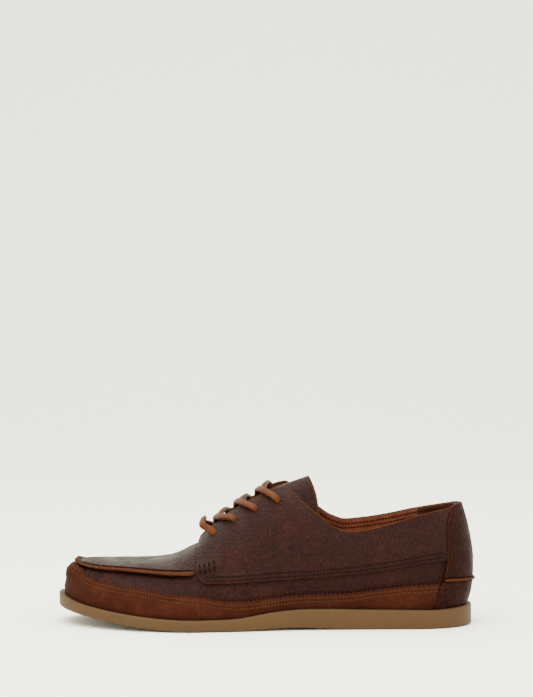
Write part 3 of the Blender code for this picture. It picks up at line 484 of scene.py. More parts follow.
def foot_rise(turn, thickness):
    """The lowest rise of an overlay whose outer face still clears the sole."""
    inner = plain_row(turn, [0.05])[0]
    outer = inner + normal_row(turn, [0.05])[0] * (thickness + GAP)
    climb = sole_top(outer[0] / SOLE_LENGTH) - sole_top(inner[0] / SOLE_LENGTH)
    return rise_at_height(turn, 2 * GAP + max(0.0, inner[2] - outer[2] + climb))


def lip_rise(turn):
    turn = abs(wrapped(turn))
    share = (1 - turn) / (1 - HEEL_EDGE[0][1])
    return rise_at_height(turn, LIP_HEIGHT + LIP_RISE * share)


def deselect():
    bpy.ops.object.select_all(action="DESELECT")


def grid_piece(name, points, closed=False):
    """Adds a grid and lays it through points[i][k], i along and k across, with its UV map in metres."""
    points = np.asarray(points)
    count, across = points.shape[:2]
    deselect()
    bpy.ops.mesh.primitive_grid_add(x_subdivisions=count - 1, y_subdivisions=across - 1, size=1.0)
    piece = bpy.context.active_object
    piece.name = piece.data.name = name
    mesh = piece.data
    laid = (points + ORIGIN).transpose(1, 0, 2)
    mesh.vertices.foreach_set("co", laid.reshape(-1).astype(np.float32))
    along = run_lengths(points[:, across // 2])
    up = np.linalg.norm(np.diff(points, axis=1), axis=2)
    up = np.concatenate([np.zeros((count, 1)), np.cumsum(up, axis=1)], axis=1)
    places = np.stack([np.broadcast_to(along[:, None], up.shape), up], -1).transpose(1, 0, 2).reshape(-1, 2)
    corners = np.zeros(len(mesh.loops), dtype=np.int32)
    mesh.loops.foreach_get("vertex_index", corners)
    mesh.uv_layers.active.data.foreach_set("uv", places[corners].reshape(-1).astype(np.float32))
    mesh.update()
    if closed:
        merge(piece)
    return piece


def linked(name, mesh):
    """A new object in the scene for a mesh."""
    piece = bpy.data.objects.new(name, mesh)
    bpy.context.collection.objects.link(piece)
    return piece


def edit_mesh(piece, *changes):
    """Runs changes on a piece's mesh, one after the other."""
    bm = bmesh.new()
    bm.from_mesh(piece.data)
    for change in changes:
        change(bm)
    bm.to_mesh(piece.data)
    bm.free()


def merge(piece, distance=0.02 * MM):
    """Joins the points of a mesh that lie on each other."""
    edit_mesh(piece, lambda bm: bmesh.ops.remove_doubles(bm, verts=bm.verts, dist=distance))


def cap_ends(piece):
    """Closes a tube's two open ends, and turns its faces outwards."""
    edit_mesh(
        piece,
        lambda bm: bmesh.ops.holes_fill(bm, edges=[e for e in bm.edges if e.is_boundary], sides=0),
        lambda bm: bmesh.ops.recalc_face_normals(bm, faces=bm.faces),
    )


def choose(*pieces):
    """Selects only these pieces, with the first one active."""
    deselect()
    for piece in pieces:
        piece.select_set(True)
    bpy.context.view_layer.objects.active = pieces[0]


def apply_all(piece):
    """Applies every modifier of a piece, in order."""
    choose(piece)
    for modifier in list(piece.modifiers):
        bpy.ops.object.modifier_apply(modifier=modifier.name)


def smooth(piece, degrees=40):
    """Shades a piece smooth, but for edges that are sharper than an angle."""
    choose(piece)
    bpy.ops.object.shade_smooth_by_angle(angle=math.radians(degrees))


def thicken(piece, thickness, outwards=True, inner=0, rim=0):
    """Gives a sheet its leather's thickness, with other finishes for its back and its cut edge."""
    while len(piece.data.materials) <= max(inner, rim):
        piece.data.materials.append(None)
    wall = piece.modifiers.new("leather", "SOLIDIFY")
    wall.thickness = thickness
    wall.offset = 1.0 if outwards else -1.0
    wall.use_even_offset = True
    wall.material_offset = inner
    wall.material_offset_rim = rim
    apply_all(piece)


def bare_edges(piece, shape, low=0, high=0, last=0):
    """Gives the outermost strips of faces of a grid of (along, across) points the cut edge's finish."""
    along, across = shape[0] - 1, shape[1] - 1
    for _ in range(2):
        piece.data.materials.append(None)
    for face in piece.data.polygons:
        k, i = divmod(face.index, along)
        if k < low or k >= across - high or i >= along - last:
            face.material_index = 1


def soften_edges(piece, width, segments=2):
    edge = piece.modifiers.new("edge", "BEVEL")
    edge.width = width
    edge.segments = segments
    edge.limit_method = "ANGLE"
    edge.angle_limit = math.radians(50)
    apply_all(piece)


def hand_over(piece, nodes, slot, *materials):
    """Gives a finished piece its finishes and its place in the frame, and hides the solids that it stands for.
    """
    if materials:
        kept = [p.material_index for p in piece.data.polygons]
        piece.data.materials.clear()
        for material in materials:
            piece.data.materials.append(material)
        piece.data.polygons.foreach_set("material_index", kept)
    smooth(piece)
    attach(piece, "root")
    if nodes:
        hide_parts(*nodes)
    return piece


def tube(name, centres, acrosses, ups, outline_at):
    """A closed bar along centres, with its section from outline_at(share): pairs of across and up."""
    points = []
    for share, centre, across, up in zip(np.linspace(0, 1, len(centres)), centres, acrosses, ups):
        ring = [centre + across * a + up * b for a, b in outline_at(share)]
        points.append(ring + ring[:1])
    piece = grid_piece(name, points, closed=True)
    cap_ends(piece)
    return piece


class Finish:
    """A material's nodes, built up from its surface shader backwards."""

    def __init__(self, name, roughness, specular, tint=(1.0, 1.0, 1.0)):
        self.material = bpy.data.materials.new(name)
        self.material.use_nodes = True
        self.tree = self.material.node_tree
        self.shader = self.tree.nodes["Principled BSDF"]
        values = {"Roughness": roughness, "Specular IOR Level": specular, "Specular Tint": (*tint, 1.0)}
        for socket, value in values.items():
            self.shader.inputs[socket].default_value = value
        self.place = self.add("ShaderNodeTexCoord").outputs["Object"]

    def add(self, kind, links=None, **values):
        """Adds a node with its settings and inputs, and links outputs to its sockets."""
        node = self.tree.nodes.new(kind)
        for key, value in values.items():
            if hasattr(node, key):
                setattr(node, key, value)
            else:
                node.inputs[key].default_value = value
        for key, source in (links or {}).items():
            self.tree.links.new(source, node.inputs[key])
        return node

    def join(self, output, socket):
        self.tree.links.new(output, self.shader.inputs[socket])

    def done(self, colour, normal):
        """Joins the colour and the relief to the shader, and gives the finished material."""
        self.join(colour, "Base Color")
        self.join(normal, "Normal")
        return self.material

    def noise(self, scale, detail=3.0, roughness=0.55, place=None, distortion=0.0):
        values = {"Scale": scale, "Detail": detail, "Roughness": roughness, "Distortion": distortion}
        return self.add("ShaderNodeTexNoise", {"Vector": place or self.place}, **values).outputs["Fac"]

    def bent(self, scale, amount):
        """The object's coordinates, pushed about so that a pattern loses its regular look."""
        wander = self.add("ShaderNodeTexNoise", {"Vector": self.place}, Scale=scale)
        links = {0: wander.outputs["Color"]}
        push = self.add("ShaderNodeVectorMath", links, operation="SCALE", Scale=amount)
        links = {0: self.place, 1: push.outputs[0]}
        return self.add("ShaderNodeVectorMath", links, operation="ADD").outputs[0]

    def squeezed(self, scale):
        """The object's coordinates, scaled so that a pattern runs along the shoe."""
        return self.add("ShaderNodeMapping", {"Vector": self.place}, Scale=scale).outputs[0]

    def cells(self, size, place):
        values = {"feature": "SMOOTH_F1", "Scale": 1 / size, "Smoothness": 0.6}
        return self.add("ShaderNodeTexVoronoi", {"Vector": place}, **values).outputs["Distance"]

    def ramp(self, source, *stops):
        made = self.add("ShaderNodeValToRGB", {"Fac": source})
        ramp = made.color_ramp
        while len(ramp.elements) < len(stops):
            ramp.elements.new(0.5)
        for element, (place, colour) in zip(ramp.elements, stops):
            element.position = place
            element.color = (*colour[:3], 1.0) if hasattr(colour, "__len__") else (colour, colour, colour, 1.0)
        return made.outputs["Color"]

    def mix(self, share, one, two):
        made = self.add("ShaderNodeMix", data_type="RGBA")
        for key, value in ((0, share), (6, one), (7, two)):
            if hasattr(value, "is_linked"):
                self.tree.links.new(value, made.inputs[key])
            elif hasattr(value, "__len__"):
                made.inputs[key].default_value = (*value[:3], 1.0)
            else:
                made.inputs[key].default_value = value
        return made.outputs[2]

    def bump(self, height, distance, before=None):
        made = self.add("ShaderNodeBump", {"Height": height}, Distance=distance, Strength=1.0)
        if before:
            self.tree.links.new(before, made.inputs["Normal"])
        return made.outputs["Normal"]


def tinted(colour, amount):
    return tuple(channel * amount for channel in colour[:3])


def pebbled_leather(name, colour, worn, grain, roughness=0.5, specular=0.10):
    """Tumbled leather: rounded pebbles with painted shade between them, and lighter worn patches."""
    depth = 0.30 * MM
    finish = Finish(name, roughness=roughness, specular=specular, tint=(0.90, 0.62, 0.55))
    place = finish.bent(170.0, 0.0018)
    pebbles = finish.cells(grain, place)
    small = finish.cells(grain * 0.42, finish.bent(400.0, 0.0008))
    patches = finish.noise(30.0, 4.0, 0.6)
    wrinkles = finish.noise(160.0, 5.0, 0.72, place=finish.squeezed((1.0, 1.0, 2.6)), distortion=0.9)
    base = finish.ramp(patches, (0.28, tinted(colour, 0.95)), (0.54, tinted(colour, 1.15)), (0.82, worn))
    base = finish.mix(finish.ramp(wrinkles, (0.45, 0.0), (0.74, 0.42)), base, worn)
    # Painted shade: darker in the valleys between the pebbles
    valley_shade = finish.ramp(pebbles, (0.34, 0.0), (0.72, 0.80))
    base = finish.mix(valley_shade, base, tinted(colour, 0.36))
    gloss = finish.ramp(finish.noise(95.0, 4.0), (0.3, roughness - 0.10), (0.7, roughness + 0.10))
    finish.join(gloss, "Roughness")
    normal = finish.bump(finish.ramp(pebbles, (0.1, 1.0), (0.8, 0.0)), depth)
    normal = finish.bump(finish.ramp(small, (0.1, 1.0), (0.8, 0.0)), depth * 0.4, before=normal)
    normal = finish.bump(wrinkles, 0.85 * MM, before=normal)
    return finish.done(base, finish.bump(finish.noise(1900.0, 3.0), 0.05 * MM, before=normal))


def napped_leather(name, colour, light):
    """Brushed leather with a short nap: cloudy and matte, with fine fibres."""
    finish = Finish(name, roughness=0.86, specular=0.10, tint=(0.9, 0.5, 0.3))
    clouds = finish.noise(70.0, 5.0, 0.65)
    fibres = finish.noise(900.0, 3.0, 0.7)
    base = finish.ramp(clouds, (0.28, tinted(colour, 0.62)), (0.5, colour), (0.74, light))
    base = finish.mix(finish.ramp(fibres, (0.38, 0.0), (0.72, 0.6)), base, light)
    specks = finish.ramp(finish.noise(380.0, 3.0), (0.55, 0.0), (0.8, 0.55))
    base = finish.mix(specks, base, tinted(colour, 0.45))
    normal = finish.bump(finish.noise(420.0, 4.0, 0.7), 0.12 * MM)
    return finish.done(base, finish.bump(fibres, 0.08 * MM, before=normal))


def smooth_leather(name, colour, light, roughness):
    """Plain fine-grained leather with painted shade in its grain, for the laces, the lining and the footbed."""
    finish = Finish(name, roughness=roughness, specular=0.14, tint=(0.95, 0.65, 0.45))
    clouds = finish.noise(120.0, 4.0)
    base = finish.ramp(clouds, (0.3, tinted(colour, 0.75)), (0.52, colour), (0.75, light))
    pores = finish.cells(0.7 * MM, finish.bent(500.0, 0.0005))
    # Painted shade: darker in the low grain between the cells
    base = finish.mix(finish.ramp(pores, (0.45, 0.0), (0.85, 0.5)), base, tinted(colour, 0.5))
    normal = finish.bump(finish.ramp(pores, (0.2, 1.0), (0.8, 0.0)), 0.06 * MM)
    return finish.done(base, finish.bump(finish.noise(1500.0, 3.0), 0.04 * MM, before=normal))


def raw_edge(name, colour, light):
    """The cut edge of leather, fibrous and matte."""
    finish = Finish(name, roughness=0.88, specular=0.10, tint=(0.9, 0.6, 0.4))
    fibres = finish.noise(1100.0, 3.0, 0.7)
    base = finish.ramp(fibres, (0.3, tinted(colour, 0.6)), (0.5, colour), (0.72, light))
    return finish.done(base, finish.bump(fibres, 0.12 * MM))


def gum_rubber(name, colour, dark, tread=False):
    """Pale gum rubber with faint mould flow, and siping under the sole with painted shade in its grooves."""
    finish = Finish(name, roughness=0.62, specular=0.22, tint=(0.95, 0.8, 0.6))
    clouds = finish.noise(24.0, 3.0, 0.5, place=finish.squeezed((1.0, 1.0, 3.0)))
    base = finish.ramp(clouds, (0.25, tinted(dark, 1.1)), (0.55, colour), (0.85, tinted(colour, 1.06)))
    specks = finish.noise(1300.0, 2.0)
    base = finish.mix(finish.ramp(specks, (0.58, 0.0), (0.78, 0.35)), base, dark)
    normal = finish.bump(finish.noise(700.0, 3.0), 0.03 * MM)
    if tread:
        # Narrow grooves across the sole, about 3.5 mm apart
        scale = 1 / (2 * math.pi * 0.55 * MM) / 3.2
        links = {"Vector": finish.bent(30.0, 0.006)}
        waves = finish.add("ShaderNodeTexWave", links, bands_direction="X", Scale=scale)
        sipes = finish.ramp(waves.outputs["Fac"], (0.04, 0.0), (0.14, 1.0))
        # Painted shade: the grooves are darker than the rubber
        base = finish.mix(sipes, tinted(dark, 0.35), base)
        normal = finish.bump(sipes, 0.8 * MM, before=normal)
    return finish.done(base, normal)


def thread(name, colour):
    """Waxed thread with its twist."""
    finish = Finish(name, roughness=0.8, specular=0.02)
    twist = finish.noise(1600.0, 2.0)
    base = finish.ramp(twist, (0.35, tinted(colour, 0.55)), (0.65, colour))
    return finish.done(base, finish.bump(twist, 0.08 * MM))


class ShoeColours(bpy.types.PropertyGroup):
    """Colours that a user would change."""

    def colour(label, text, value):
        return FloatVectorProperty(
            name=label, description=text, default=value, size=3, min=0.0, max=1.0, subtype="COLOR"
        )

    leather: colour("Leather", "Colour of the pebbled leather", (0.0090, 0.0019, 0.0016))
    leather_worn: colour("Worn leather", "Pebbled leather where it is rubbed", (0.0250, 0.0052, 0.0034))
    rust: colour("Mudguard", "Colour of the brushed mudguard leather", (0.0180, 0.0041, 0.0025))
    rust_light: colour("Mudguard nap", "Brushed leather where its nap is light", (0.0330, 0.0082, 0.0042))
    edge: colour("Cut edge", "Colour of the leather's cut edges", (0.031, 0.0092, 0.0036))
    lining: colour("Lining", "Colour of the lining", (0.150, 0.0430, 0.0230))
    lace: colour("Laces", "Colour of the leather laces", (0.046, 0.0115, 0.0032))
    gum: colour("Gum rubber", "Colour of the sole", (0.0440, 0.0215, 0.0078))
    gum_dark: colour("Gum rubber shade", "Darker flow in the sole", (0.0370, 0.0180, 0.0068))
    thread: colour("Dark thread", "Colour of the upper's thread", (0.0085, 0.0034, 0.0026))
    thread_light: colour("Mudguard thread", "Colour of the mudguard's thread", (0.056, 0.0240, 0.0095))


class ShoeSizes(bpy.types.PropertyGroup):
    """Sizes that a user would change."""

    def size(label, text, value, low, high):
        return FloatProperty(name=label, description=text, default=value, min=low, max=high, unit="LENGTH")

    stitch_pitch: size("Stitch pitch", "Length along a seam for one stitch", 2.3 * MM, 1 * MM, 6 * MM)
    pink_pitch: size("Pinking pitch", "Length of one tooth of the pinked edge", 3.1 * MM, 1 * MM, 8 * MM)
    pink_depth: size("Pinking depth", "Depth of the pinked edge's teeth", 1.3 * MM, 0.0, 3 * MM)
    pebble: size("Grain", "Size of the leather's pebbles", 1.5 * MM, 0.3 * MM, 5 * MM)
    floor_reach: size("Floor", "How far the floor reaches", 3.0, 0.5, 10.0)


@lru_cache(maxsize=None)
def finishes():
    """Every material, made once from the scene's colours."""
    c = bpy.context.scene.shoe_colours
    s = bpy.context.scene.shoe_sizes
    # The heel pieces' own leather, and a darker copy of the lining that is painted shade inside the heel
    heel, shaded_heel_lining = tinted(c.leather, 1.2), tinted(c.lining, 0.28)
    return {
        "leather": pebbled_leather("dark_leather", c.leather, c.leather_worn, s.pebble),
        "heel_leather": pebbled_leather("heel_leather", heel, c.leather_worn, s.pebble, 0.60, 0.05),
        "rust": napped_leather("rust_leather", c.rust, c.rust_light),
        "edge": raw_edge("cut_edge", c.edge, tinted(c.edge, 1.5)),
        "rust_edge": raw_edge("rust_cut_edge", tinted(c.rust, 1.25), c.rust_light),
        "lining": smooth_leather("lining_leather", c.lining, tinted(c.lining, 1.35), 0.62),
        "shaded_heel_lining": smooth_leather("shaded_heel_lining_leather", shaded_heel_lining, tinted(c.lining, 0.5), 0.7),
        "footbed": smooth_leather("footbed_leather", tinted(c.lining, 0.70), c.lining, 0.6),
        "lace": smooth_leather("lace_leather", c.lace, tinted(c.lace, 1.35), 0.5),
        "gum": gum_rubber("gum_rubber", c.gum, c.gum_dark),
        "tread": gum_rubber("gum_tread", c.gum, c.gum_dark, tread=True),
        "thread": thread("dark_thread", c.thread),
        "thread_light": thread("mudguard_thread", c.thread_light),
    }


def both_sides(turns):
    """Turns from 0 up, preceded by the same turns on the inner side."""
    return [-t for t in turns[:0:-1]] + list(turns)


def slab_piece(name, levels, bottom_slot=0):
    """A flat piece through levels of (inset, height function), with rungs across its two faces."""
    bm = bmesh.new()
    rings = []
    for inset, height in levels:
        outer, inner = (outline(side, inset)[1][::2] for side in (1, -1))
        ring = [*outer, *inner[-2:0:-1]]
        rings.append([bm.verts.new(Vector((x, y, height(x / SOLE_LENGTH))) + Vector(ORIGIN)) for x, y in ring])
    count = len(rings[0])
    for one, two in zip(rings, rings[1:]):
        for i in range(count):
            j = (i + 1) % count
            bm.faces.new((one[i], one[j], two[j], two[i]))
    half = count // 2 + 1
    for ring, slot in ((rings[0], bottom_slot), (rings[-1], 0)):
        outer = ring[:half]
        inner = [ring[0]] + ring[: half - 2 : -1]
        for i in range(half - 1):
            corners = list(dict.fromkeys((outer[i], outer[i + 1], inner[i + 1], inner[i])))
            bm.faces.new(corners).material_index = slot
    bmesh.ops.recalc_face_normals(bm, faces=bm.faces)
    mesh = bpy.data.meshes.new(name)
    bm.to_mesh(mesh)
    bm.free()
    return linked(name, mesh)


class SHOE_OT_sole(bpy.types.Operator):
    """Builds the gum rubber sole with its rounded edges and siped underside"""

    bl_idname = "shoe.sole"
    bl_label = "Sole"

    def execute(self, context):
        round_low, round_high = 1.4 * MM, 1.2 * MM
        levels = [
            (round_low * (1 - math.sin(a)), lambda s, a=a: sole_bottom(s) + round_low * (1 - math.cos(a)))
            for a in (0.0, 0.5, 1.0, math.pi / 2)
        ]
        levels.append((0.0, lambda s: sole_bottom(s) + (sole_top(s) - sole_bottom(s)) * 0.5))
        levels += [
            (round_high * (1 - math.cos(a)), lambda s, a=a: sole_top(s) - round_high * (1 - math.sin(a)))
            for a in (0.0, 0.6, 1.1, math.pi / 2)
        ]
        sole = slab_piece("gum_sole", levels, bottom_slot=1)
        looks = finishes()
        hand_over(sole, ["outsole"], "gum_rubber", looks["gum"], looks["tread"])
        return {"FINISHED"}


class SHOE_OT_footbed(bpy.types.Operator):
    """Builds the leather footbed on the upper's turned-in margin"""

    bl_idname = "shoe.footbed"
    bl_label = "Footbed"

    def execute(self, context):
        inset = LEDGE + WALL + 4 * GAP
        base = 3 * GAP + WALL
        top = base + INSOLE_THICKNESS
        levels = [
            (inset, lambda s: sole_top(s) + base),
            (inset, lambda s: sole_top(s) + top - 1.0 * MM),
            (inset + 0.4 * MM, lambda s: sole_top(s) + top - 0.3 * MM),
            (inset + 1.2 * MM, lambda s: sole_top(s) + top),
        ]
        footbed = slab_piece("leather_footbed", levels)
        hand_over(footbed, ["insole"], "footbed_leather", finishes()["footbed"])
        return {"FINISHED"}


def lace_holes():
    """The side, centre and outward direction of every lace hole."""
    for side in (1, -1):
        for turn in LACE_TURNS:
            rise = rise_at_width(side * turn, HOLE_FROM_RIDGE)
            yield side, plain_row(side * turn, [rise])[0], normal_row(side * turn, [rise])[0]


def punch(piece, only_side=0):
    """Cuts the lace holes through a finished wall."""
    for side, point, normal in lace_holes():
        if only_side and side != only_side:
            continue
        deselect()
        turned = Vector(normal).to_track_quat("Z", "Y").to_euler()
        bpy.ops.mesh.primitive_cylinder_add(
            vertices=20, radius=LACE_HOLE, depth=12 * MM, location=point + ORIGIN, rotation=turned
        )
        drill = bpy.context.active_object
        cut = piece.modifiers.new("hole", "BOOLEAN")
        cut.operation = "DIFFERENCE"
        cut.object = drill
        apply_all(piece)
        bpy.data.objects.remove(drill, do_unlink=True)


class SHOE_OT_shell(bpy.types.Operator):
    """Builds the hollow upper: dark leather outside, lining inside with painted shade at the heel, and a cut
    edge at the collar
    """

    bl_idname = "shoe.shell"
    bl_label = "Upper"

    def execute(self, context):
        turns = sorted({*np.linspace(0, 1, SHELL_COLUMNS).round(6), THROAT_TURN})
        rises = np.concatenate([np.linspace(0.0, 1.0, 18)[:-1], np.linspace(1.0, 2.0, 20)])
        points = []
        for turn in both_sides(turns):
            row = surface_row(turn, rises, 0.0)[0]
            wall, _, normal = section(round(wrapped(turn), 7))
            margin = wall[0][:2] - normal * MARGIN_WIDTH
            foot = np.array([*margin, sole_top(margin[0] / SOLE_LENGTH) + GAP])
            points.append(np.vstack([foot, row]))
        shell = grid_piece("leather_upper", points, closed=True)
        thicken(shell, WALL, outwards=False, inner=1, rim=2)
        punch(shell)
        # The lining near the heel end takes the darker copy: painted shade inside the heel
        shaded_heel_lining = ORIGIN[0] + HEEL_SHADE_REACH
        for face in shell.data.polygons:
            if face.material_index == 1 and face.center.x < shaded_heel_lining:
                face.material_index = 3
        looks = finishes()
        walls = (looks["leather"], looks["lining"], looks["edge"], looks["shaded_heel_lining"])
        hand_over(shell, ["upper"], "dark_leather", *walls)
        return {"FINISHED"}


def evened(directions, reach=9):
    """Directions along a path, each averaged with its neighbours so that a bend doesn't fold the tube."""
    padded = np.vstack([directions[:1]] * reach + [directions] + [directions[-1:]] * reach)
    weights = np.hanning(2 * reach + 3)[1:-1]
    return unit(np.array([weights @ padded[i : i + 2 * reach + 1] for i in range(len(directions))]))


def seam_frames(turns):
    """Centres of the apron seam at its turns, with the directions across it and up, leaning outwards."""
    centres, acrosses, ups = [], [], []
    for turn in turns:
        row, normals = surface_row(turn, [1.0], 0.0)
        below, above = plain_row(turn, [0.98, 1.02])
        across = unit(square_to(above - below, normals[0]))
        centres.append(row[0])
        acrosses.append(across)
        ups.append(unit(normals[0] - across * SEAM_LEAN * ease(abs(turn) / 0.12)))
    return centres, evened(acrosses), evened(ups)


def seam_outline(share):
    """The apron seam's section at a share of its length from the inner side: taller and puckered at the toe."""
    signed = (share * 2 - 1) * THROAT_TURN
    turn = abs(signed)
    gathers = float(bump_at(turn, *SEAM_GATHERS)) * math.sin(turn * 2 * math.pi / GATHER_TURNS)
    pucker = gathers * (0.2 + 0.8 * ease(signed / 0.07))
    # Two waves of unlike lengths, so that no two puckers are the same
    wander = math.sin(turn * 61) + math.sin(turn * 143 + 1.7)
    tall = 3.3 * MM + 1.3 * MM * math.exp(-((turn / 0.075) ** 2)) + 0.24 * MM * pucker
    tall += 0.16 * MM * wander
    wide = 1.75 * MM + 0.20 * MM * pucker + 0.08 * MM * wander
    close = min(1.0, share * 60, (1 - share) * 60) ** 0.5
    return [(a * wide, 0.1 * MM + b * tall * close) for a, b in SEAM_SHAPE]


class SHOE_OT_apron(bpy.types.Operator):
    """Builds the apron over the toes and the raised, puckered seam round it"""

    bl_idname = "shoe.apron"
    bl_label = "Apron"

    def execute(self, context):
        looks = finishes()
        points = []
        for turn in both_sides(np.linspace(0, THROAT_TURN * SEAM_SHARE, 71)):
            low = rise_from(turn, 1.0, SEAM_WIDTH / 2 + 0.1 * MM)
            sunk = APRON_LEATHER * ease((abs(turn) - APRON_DIP) / (THROAT_TURN - APRON_DIP))
            points.append(surface_row(turn, np.linspace(low, 2.0, 22), GAP - sunk)[0])
        apron = grid_piece("leather_apron", points, closed=True)
        merge(apron, 0.06 * MM)
        thicken(apron, APRON_LEATHER, rim=1)
        hand_over(apron, ["apron"], "dark_leather", looks["leather"], looks["edge"])

        turns = np.linspace(-1, 1, 421) * THROAT_TURN * SEAM_SHARE
        roll = tube("apron_seam", *seam_frames(turns), seam_outline)
        colour_band(roll, len(turns) - 1, (1, 7))
        hand_over(roll, ["moc_seam"], "dark_leather", looks["leather"], looks["edge"])
        return {"FINISHED"}


def colour_band(piece, columns, band):
    """Gives the second finish to a band of a tube's section, counted in its faces round the section."""
    first, last = band
    for face in piece.data.polygons:
        if first <= face.index // columns < last:
            face.material_index = 1


def mudguard_top(turn):
    """The rise of the mudguard's upper edge, before its teeth are cut."""
    seam = rise_from(turn, 1.0, -(SEAM_WIDTH / 2 + GAP))
    return min(rise_at_height(turn, table(MUDGUARD_TOP, abs(turn)) * MUDGUARD_HEIGHT), seam)


class SHOE_OT_mudguards(bpy.types.Operator):
    """Builds the rust band over the sole, with its pinked upper edge"""

    bl_idname = "shoe.mudguards"
    bl_label = "Mudguards"

    def execute(self, context):
        sizes = context.scene.shoe_sizes
        looks = finishes()
        length = outline(1, LEDGE)[0][-1]

        def build(name, node, first, last):
            teeth = round(abs(last - first) * length / sizes.pink_pitch)
            points = []
            for i, turn in enumerate(np.linspace(first, last, teeth * 4 + 1)):
                top = mudguard_top(turn)
                dip = (0.0, 0.55, 1.0, 0.55)[i % 4] * sizes.pink_depth
                high = rise_from(turn, top, 0.3 * MM - dip)
                if rise_from(turn, top, 0.3 * MM) >= rise_from(turn, 1.0, -SEAM_WIDTH / 2):
                    high = top
                rises = np.linspace(foot_rise(turn, MUDGUARD_LEATHER), high, 10)
                points.append(surface_row(turn, rises, OVERLAY_GAP)[0])
            band = grid_piece(name, points)
            thicken(band, MUDGUARD_LEATHER, rim=1)
            hand_over(band, [node], "rust_leather", looks["rust"], looks["rust_edge"])

        toe_end, side_start = MUDGUARD_SPLIT - SPLIT_TURNS, MUDGUARD_SPLIT + SPLIT_TURNS
        back = table(HEEL_EDGE, 0.30) - HEEL_CLEAR
        build("rust_mudguard_toe", "mudguard_toe", -toe_end, toe_end)
        build("rust_mudguard_outer", "mudguard_outer", side_start, back)
        build("rust_mudguard_inner", "mudguard_inner", -back, -side_start)
        return {"FINISHED"}


def hem_rise(turn):
    """The rise of the quarters' lower edge."""
    return rise_at_height(turn, table(QUARTER_HEM, abs(turn)) * HEM_HEIGHT)


class SHOE_OT_quarters(bpy.types.Operator):
    """Builds the two laced quarters with their lace holes"""

    bl_idname = "shoe.quarters"
    bl_label = "Quarters"

    def execute(self, context):
        looks = finishes()
        columns, rows = QUARTER_POINTS
        for node, side in (("quarter_outer", 1), ("quarter_inner", -1)):
            points = []
            for i in range(columns):
                column = []
                for b in np.linspace(0, 1, rows):
                    front = table(QUARTER_FRONT, b)
                    back = table(HEEL_EDGE, 0.9 + 1.1 * b) - 0.0012
                    across = i / (columns - 1) if side > 0 else 1 - i / (columns - 1)
                    turn = side * (front + (back - front) * across)
                    low = hem_rise(turn)
                    rise = low + (2.0 - low) * b
                    point, normal = surface_row(turn, [rise], OVERLAY_GAP)
                    column.append(point[0] + normal[0] * stitched_ridge(turn, rise))
                points.append(column)
            quarter = grid_piece(f"leather_{node}", points)
            bare_edges(quarter, (columns, rows), high=1)
            thicken(quarter, QUARTER_LEATHER, rim=1)
            soften_edges(quarter, 0.5 * MM)
            punch(quarter, side)
            hand_over(quarter, [node], "dark_leather", looks["leather"], looks["edge"])
        return {"FINISHED"}


def stitched_ridge(turn, rise):
    """Height of the short ridge where the apron seam runs on under the quarter."""
    reach = ease((abs(turn) - 0.368) / 0.006) * (1 - ease((abs(turn) - 0.405) / 0.03))
    return 1.5 * MM * reach * float(bump_at(rise, 1.0, 0.09))


class SHOE_OT_heel(bpy.types.Operator):
    """Builds the heel strap, the raised lip under it and the foxing"""

    bl_idname = "shoe.heel"
    bl_label = "Heel"

    def execute(self, context):
        looks = finishes()
        reach = 1.4 * MM + GAP

        def patch(node, low_of, high_of, edge_from, edge_to):
            columns = 81
            points = []
            for i in range(columns):
                column = []
                for b in np.linspace(0, 1, 26):
                    first = table(HEEL_EDGE, edge_from + (edge_to - edge_from) * b)
                    turn = first + (2 - 2 * first) * i / (columns - 1)
                    low, high = low_of(turn), high_of(turn)
                    column.append(surface_row(turn, [low + (high - low) * b], OVERLAY_GAP)[0][0])
                points.append(column)
            piece = grid_piece(f"leather_{node}", points)
            thicken(piece, HEEL_LEATHER, rim=1)
            hand_over(piece, [node], "dark_leather", looks["heel_leather"], looks["edge"])

        def beside_lip(turn, distance):
            return rise_from(turn, lip_rise(turn), distance)

        patch("heel_strap", lambda t: beside_lip(t, reach), lambda t: 2.0, 0.6, 2.0)
        patch("heel_foxing", lambda t: foot_rise(t, HEEL_LEATHER), lambda t: beside_lip(t, -reach), 0.0, 0.6)
        first = table(HEEL_EDGE, 0.6)
        turns = np.linspace(first, 2 - first, 121)
        centres, acrosses, ups = [], [], []
        for turn in turns:
            rise = lip_rise(turn)
            row, normals = surface_row(turn, [rise - 0.02, rise, rise + 0.02], 0.0)
            centres.append(row[1])
            acrosses.append(unit(square_to(row[2] - row[0], normals[1])))
            ups.append(normals[1])

        def outline_at(share):
            tall = LIP_STAND * min(1.0, share * 30 + 0.7, (1 - share) * 30 + 0.7)
            return [(a * 1.15 * MM, GAP + b * (tall - GAP)) for a, b in LIP_SHAPE]

        lip = tube("heel_seam_lip", centres, acrosses, ups, outline_at)
        colour_band(lip, len(turns) - 1, (2, 6))
        hand_over(lip, ["heel_lip"], "dark_leather", looks["heel_leather"], looks["edge"])
        return {"FINISHED"}


def tongue_row(turn):
    """Points across the tongue's upper face, from under the outer side to under the inner side."""
    along, up, low = (table(TONGUE, turn, column) for column in (1, 2, 3))
    under = -(WALL + 5 * GAP)
    halves = []
    ridge = placed(along, 0.0, up * INSTEP_HEIGHT + 1.8 * MM * bump_at(turn, 0.455, 0.08), 1)
    for side in (1, -1):
        rises = np.linspace(low, 1.95, 8)
        flank = plain_row(side * turn, rises) + normal_row(side * turn, rises) * under
        if turn <= THROAT_TURN:
            ends = [plain_row(s * turn, [2.0])[0] + normal_row(s * turn, [2.0])[0] * under for s in (1, -1)]
            ridge = (ends[0] + ends[1]) / 2
            arch = flank[-1] + (ridge - flank[-1]) * np.linspace(0, 1, 9)[1:-1, None]
        else:
            reach = np.linalg.norm(ridge - flank[-1]) * HANDLE
            leave = unit(flank[-1] - flank[-2])
            level = ridge + np.array([0, side * reach, 0])
            curve = (flank[-1], flank[-1] + leave * reach, level, ridge)
            arch = bezier(curve, np.linspace(0, 1, 9)[1:-1])
        halves.append(np.vstack([flank, arch]))
    return np.vstack([halves[0], [ridge], halves[1][::-1]])


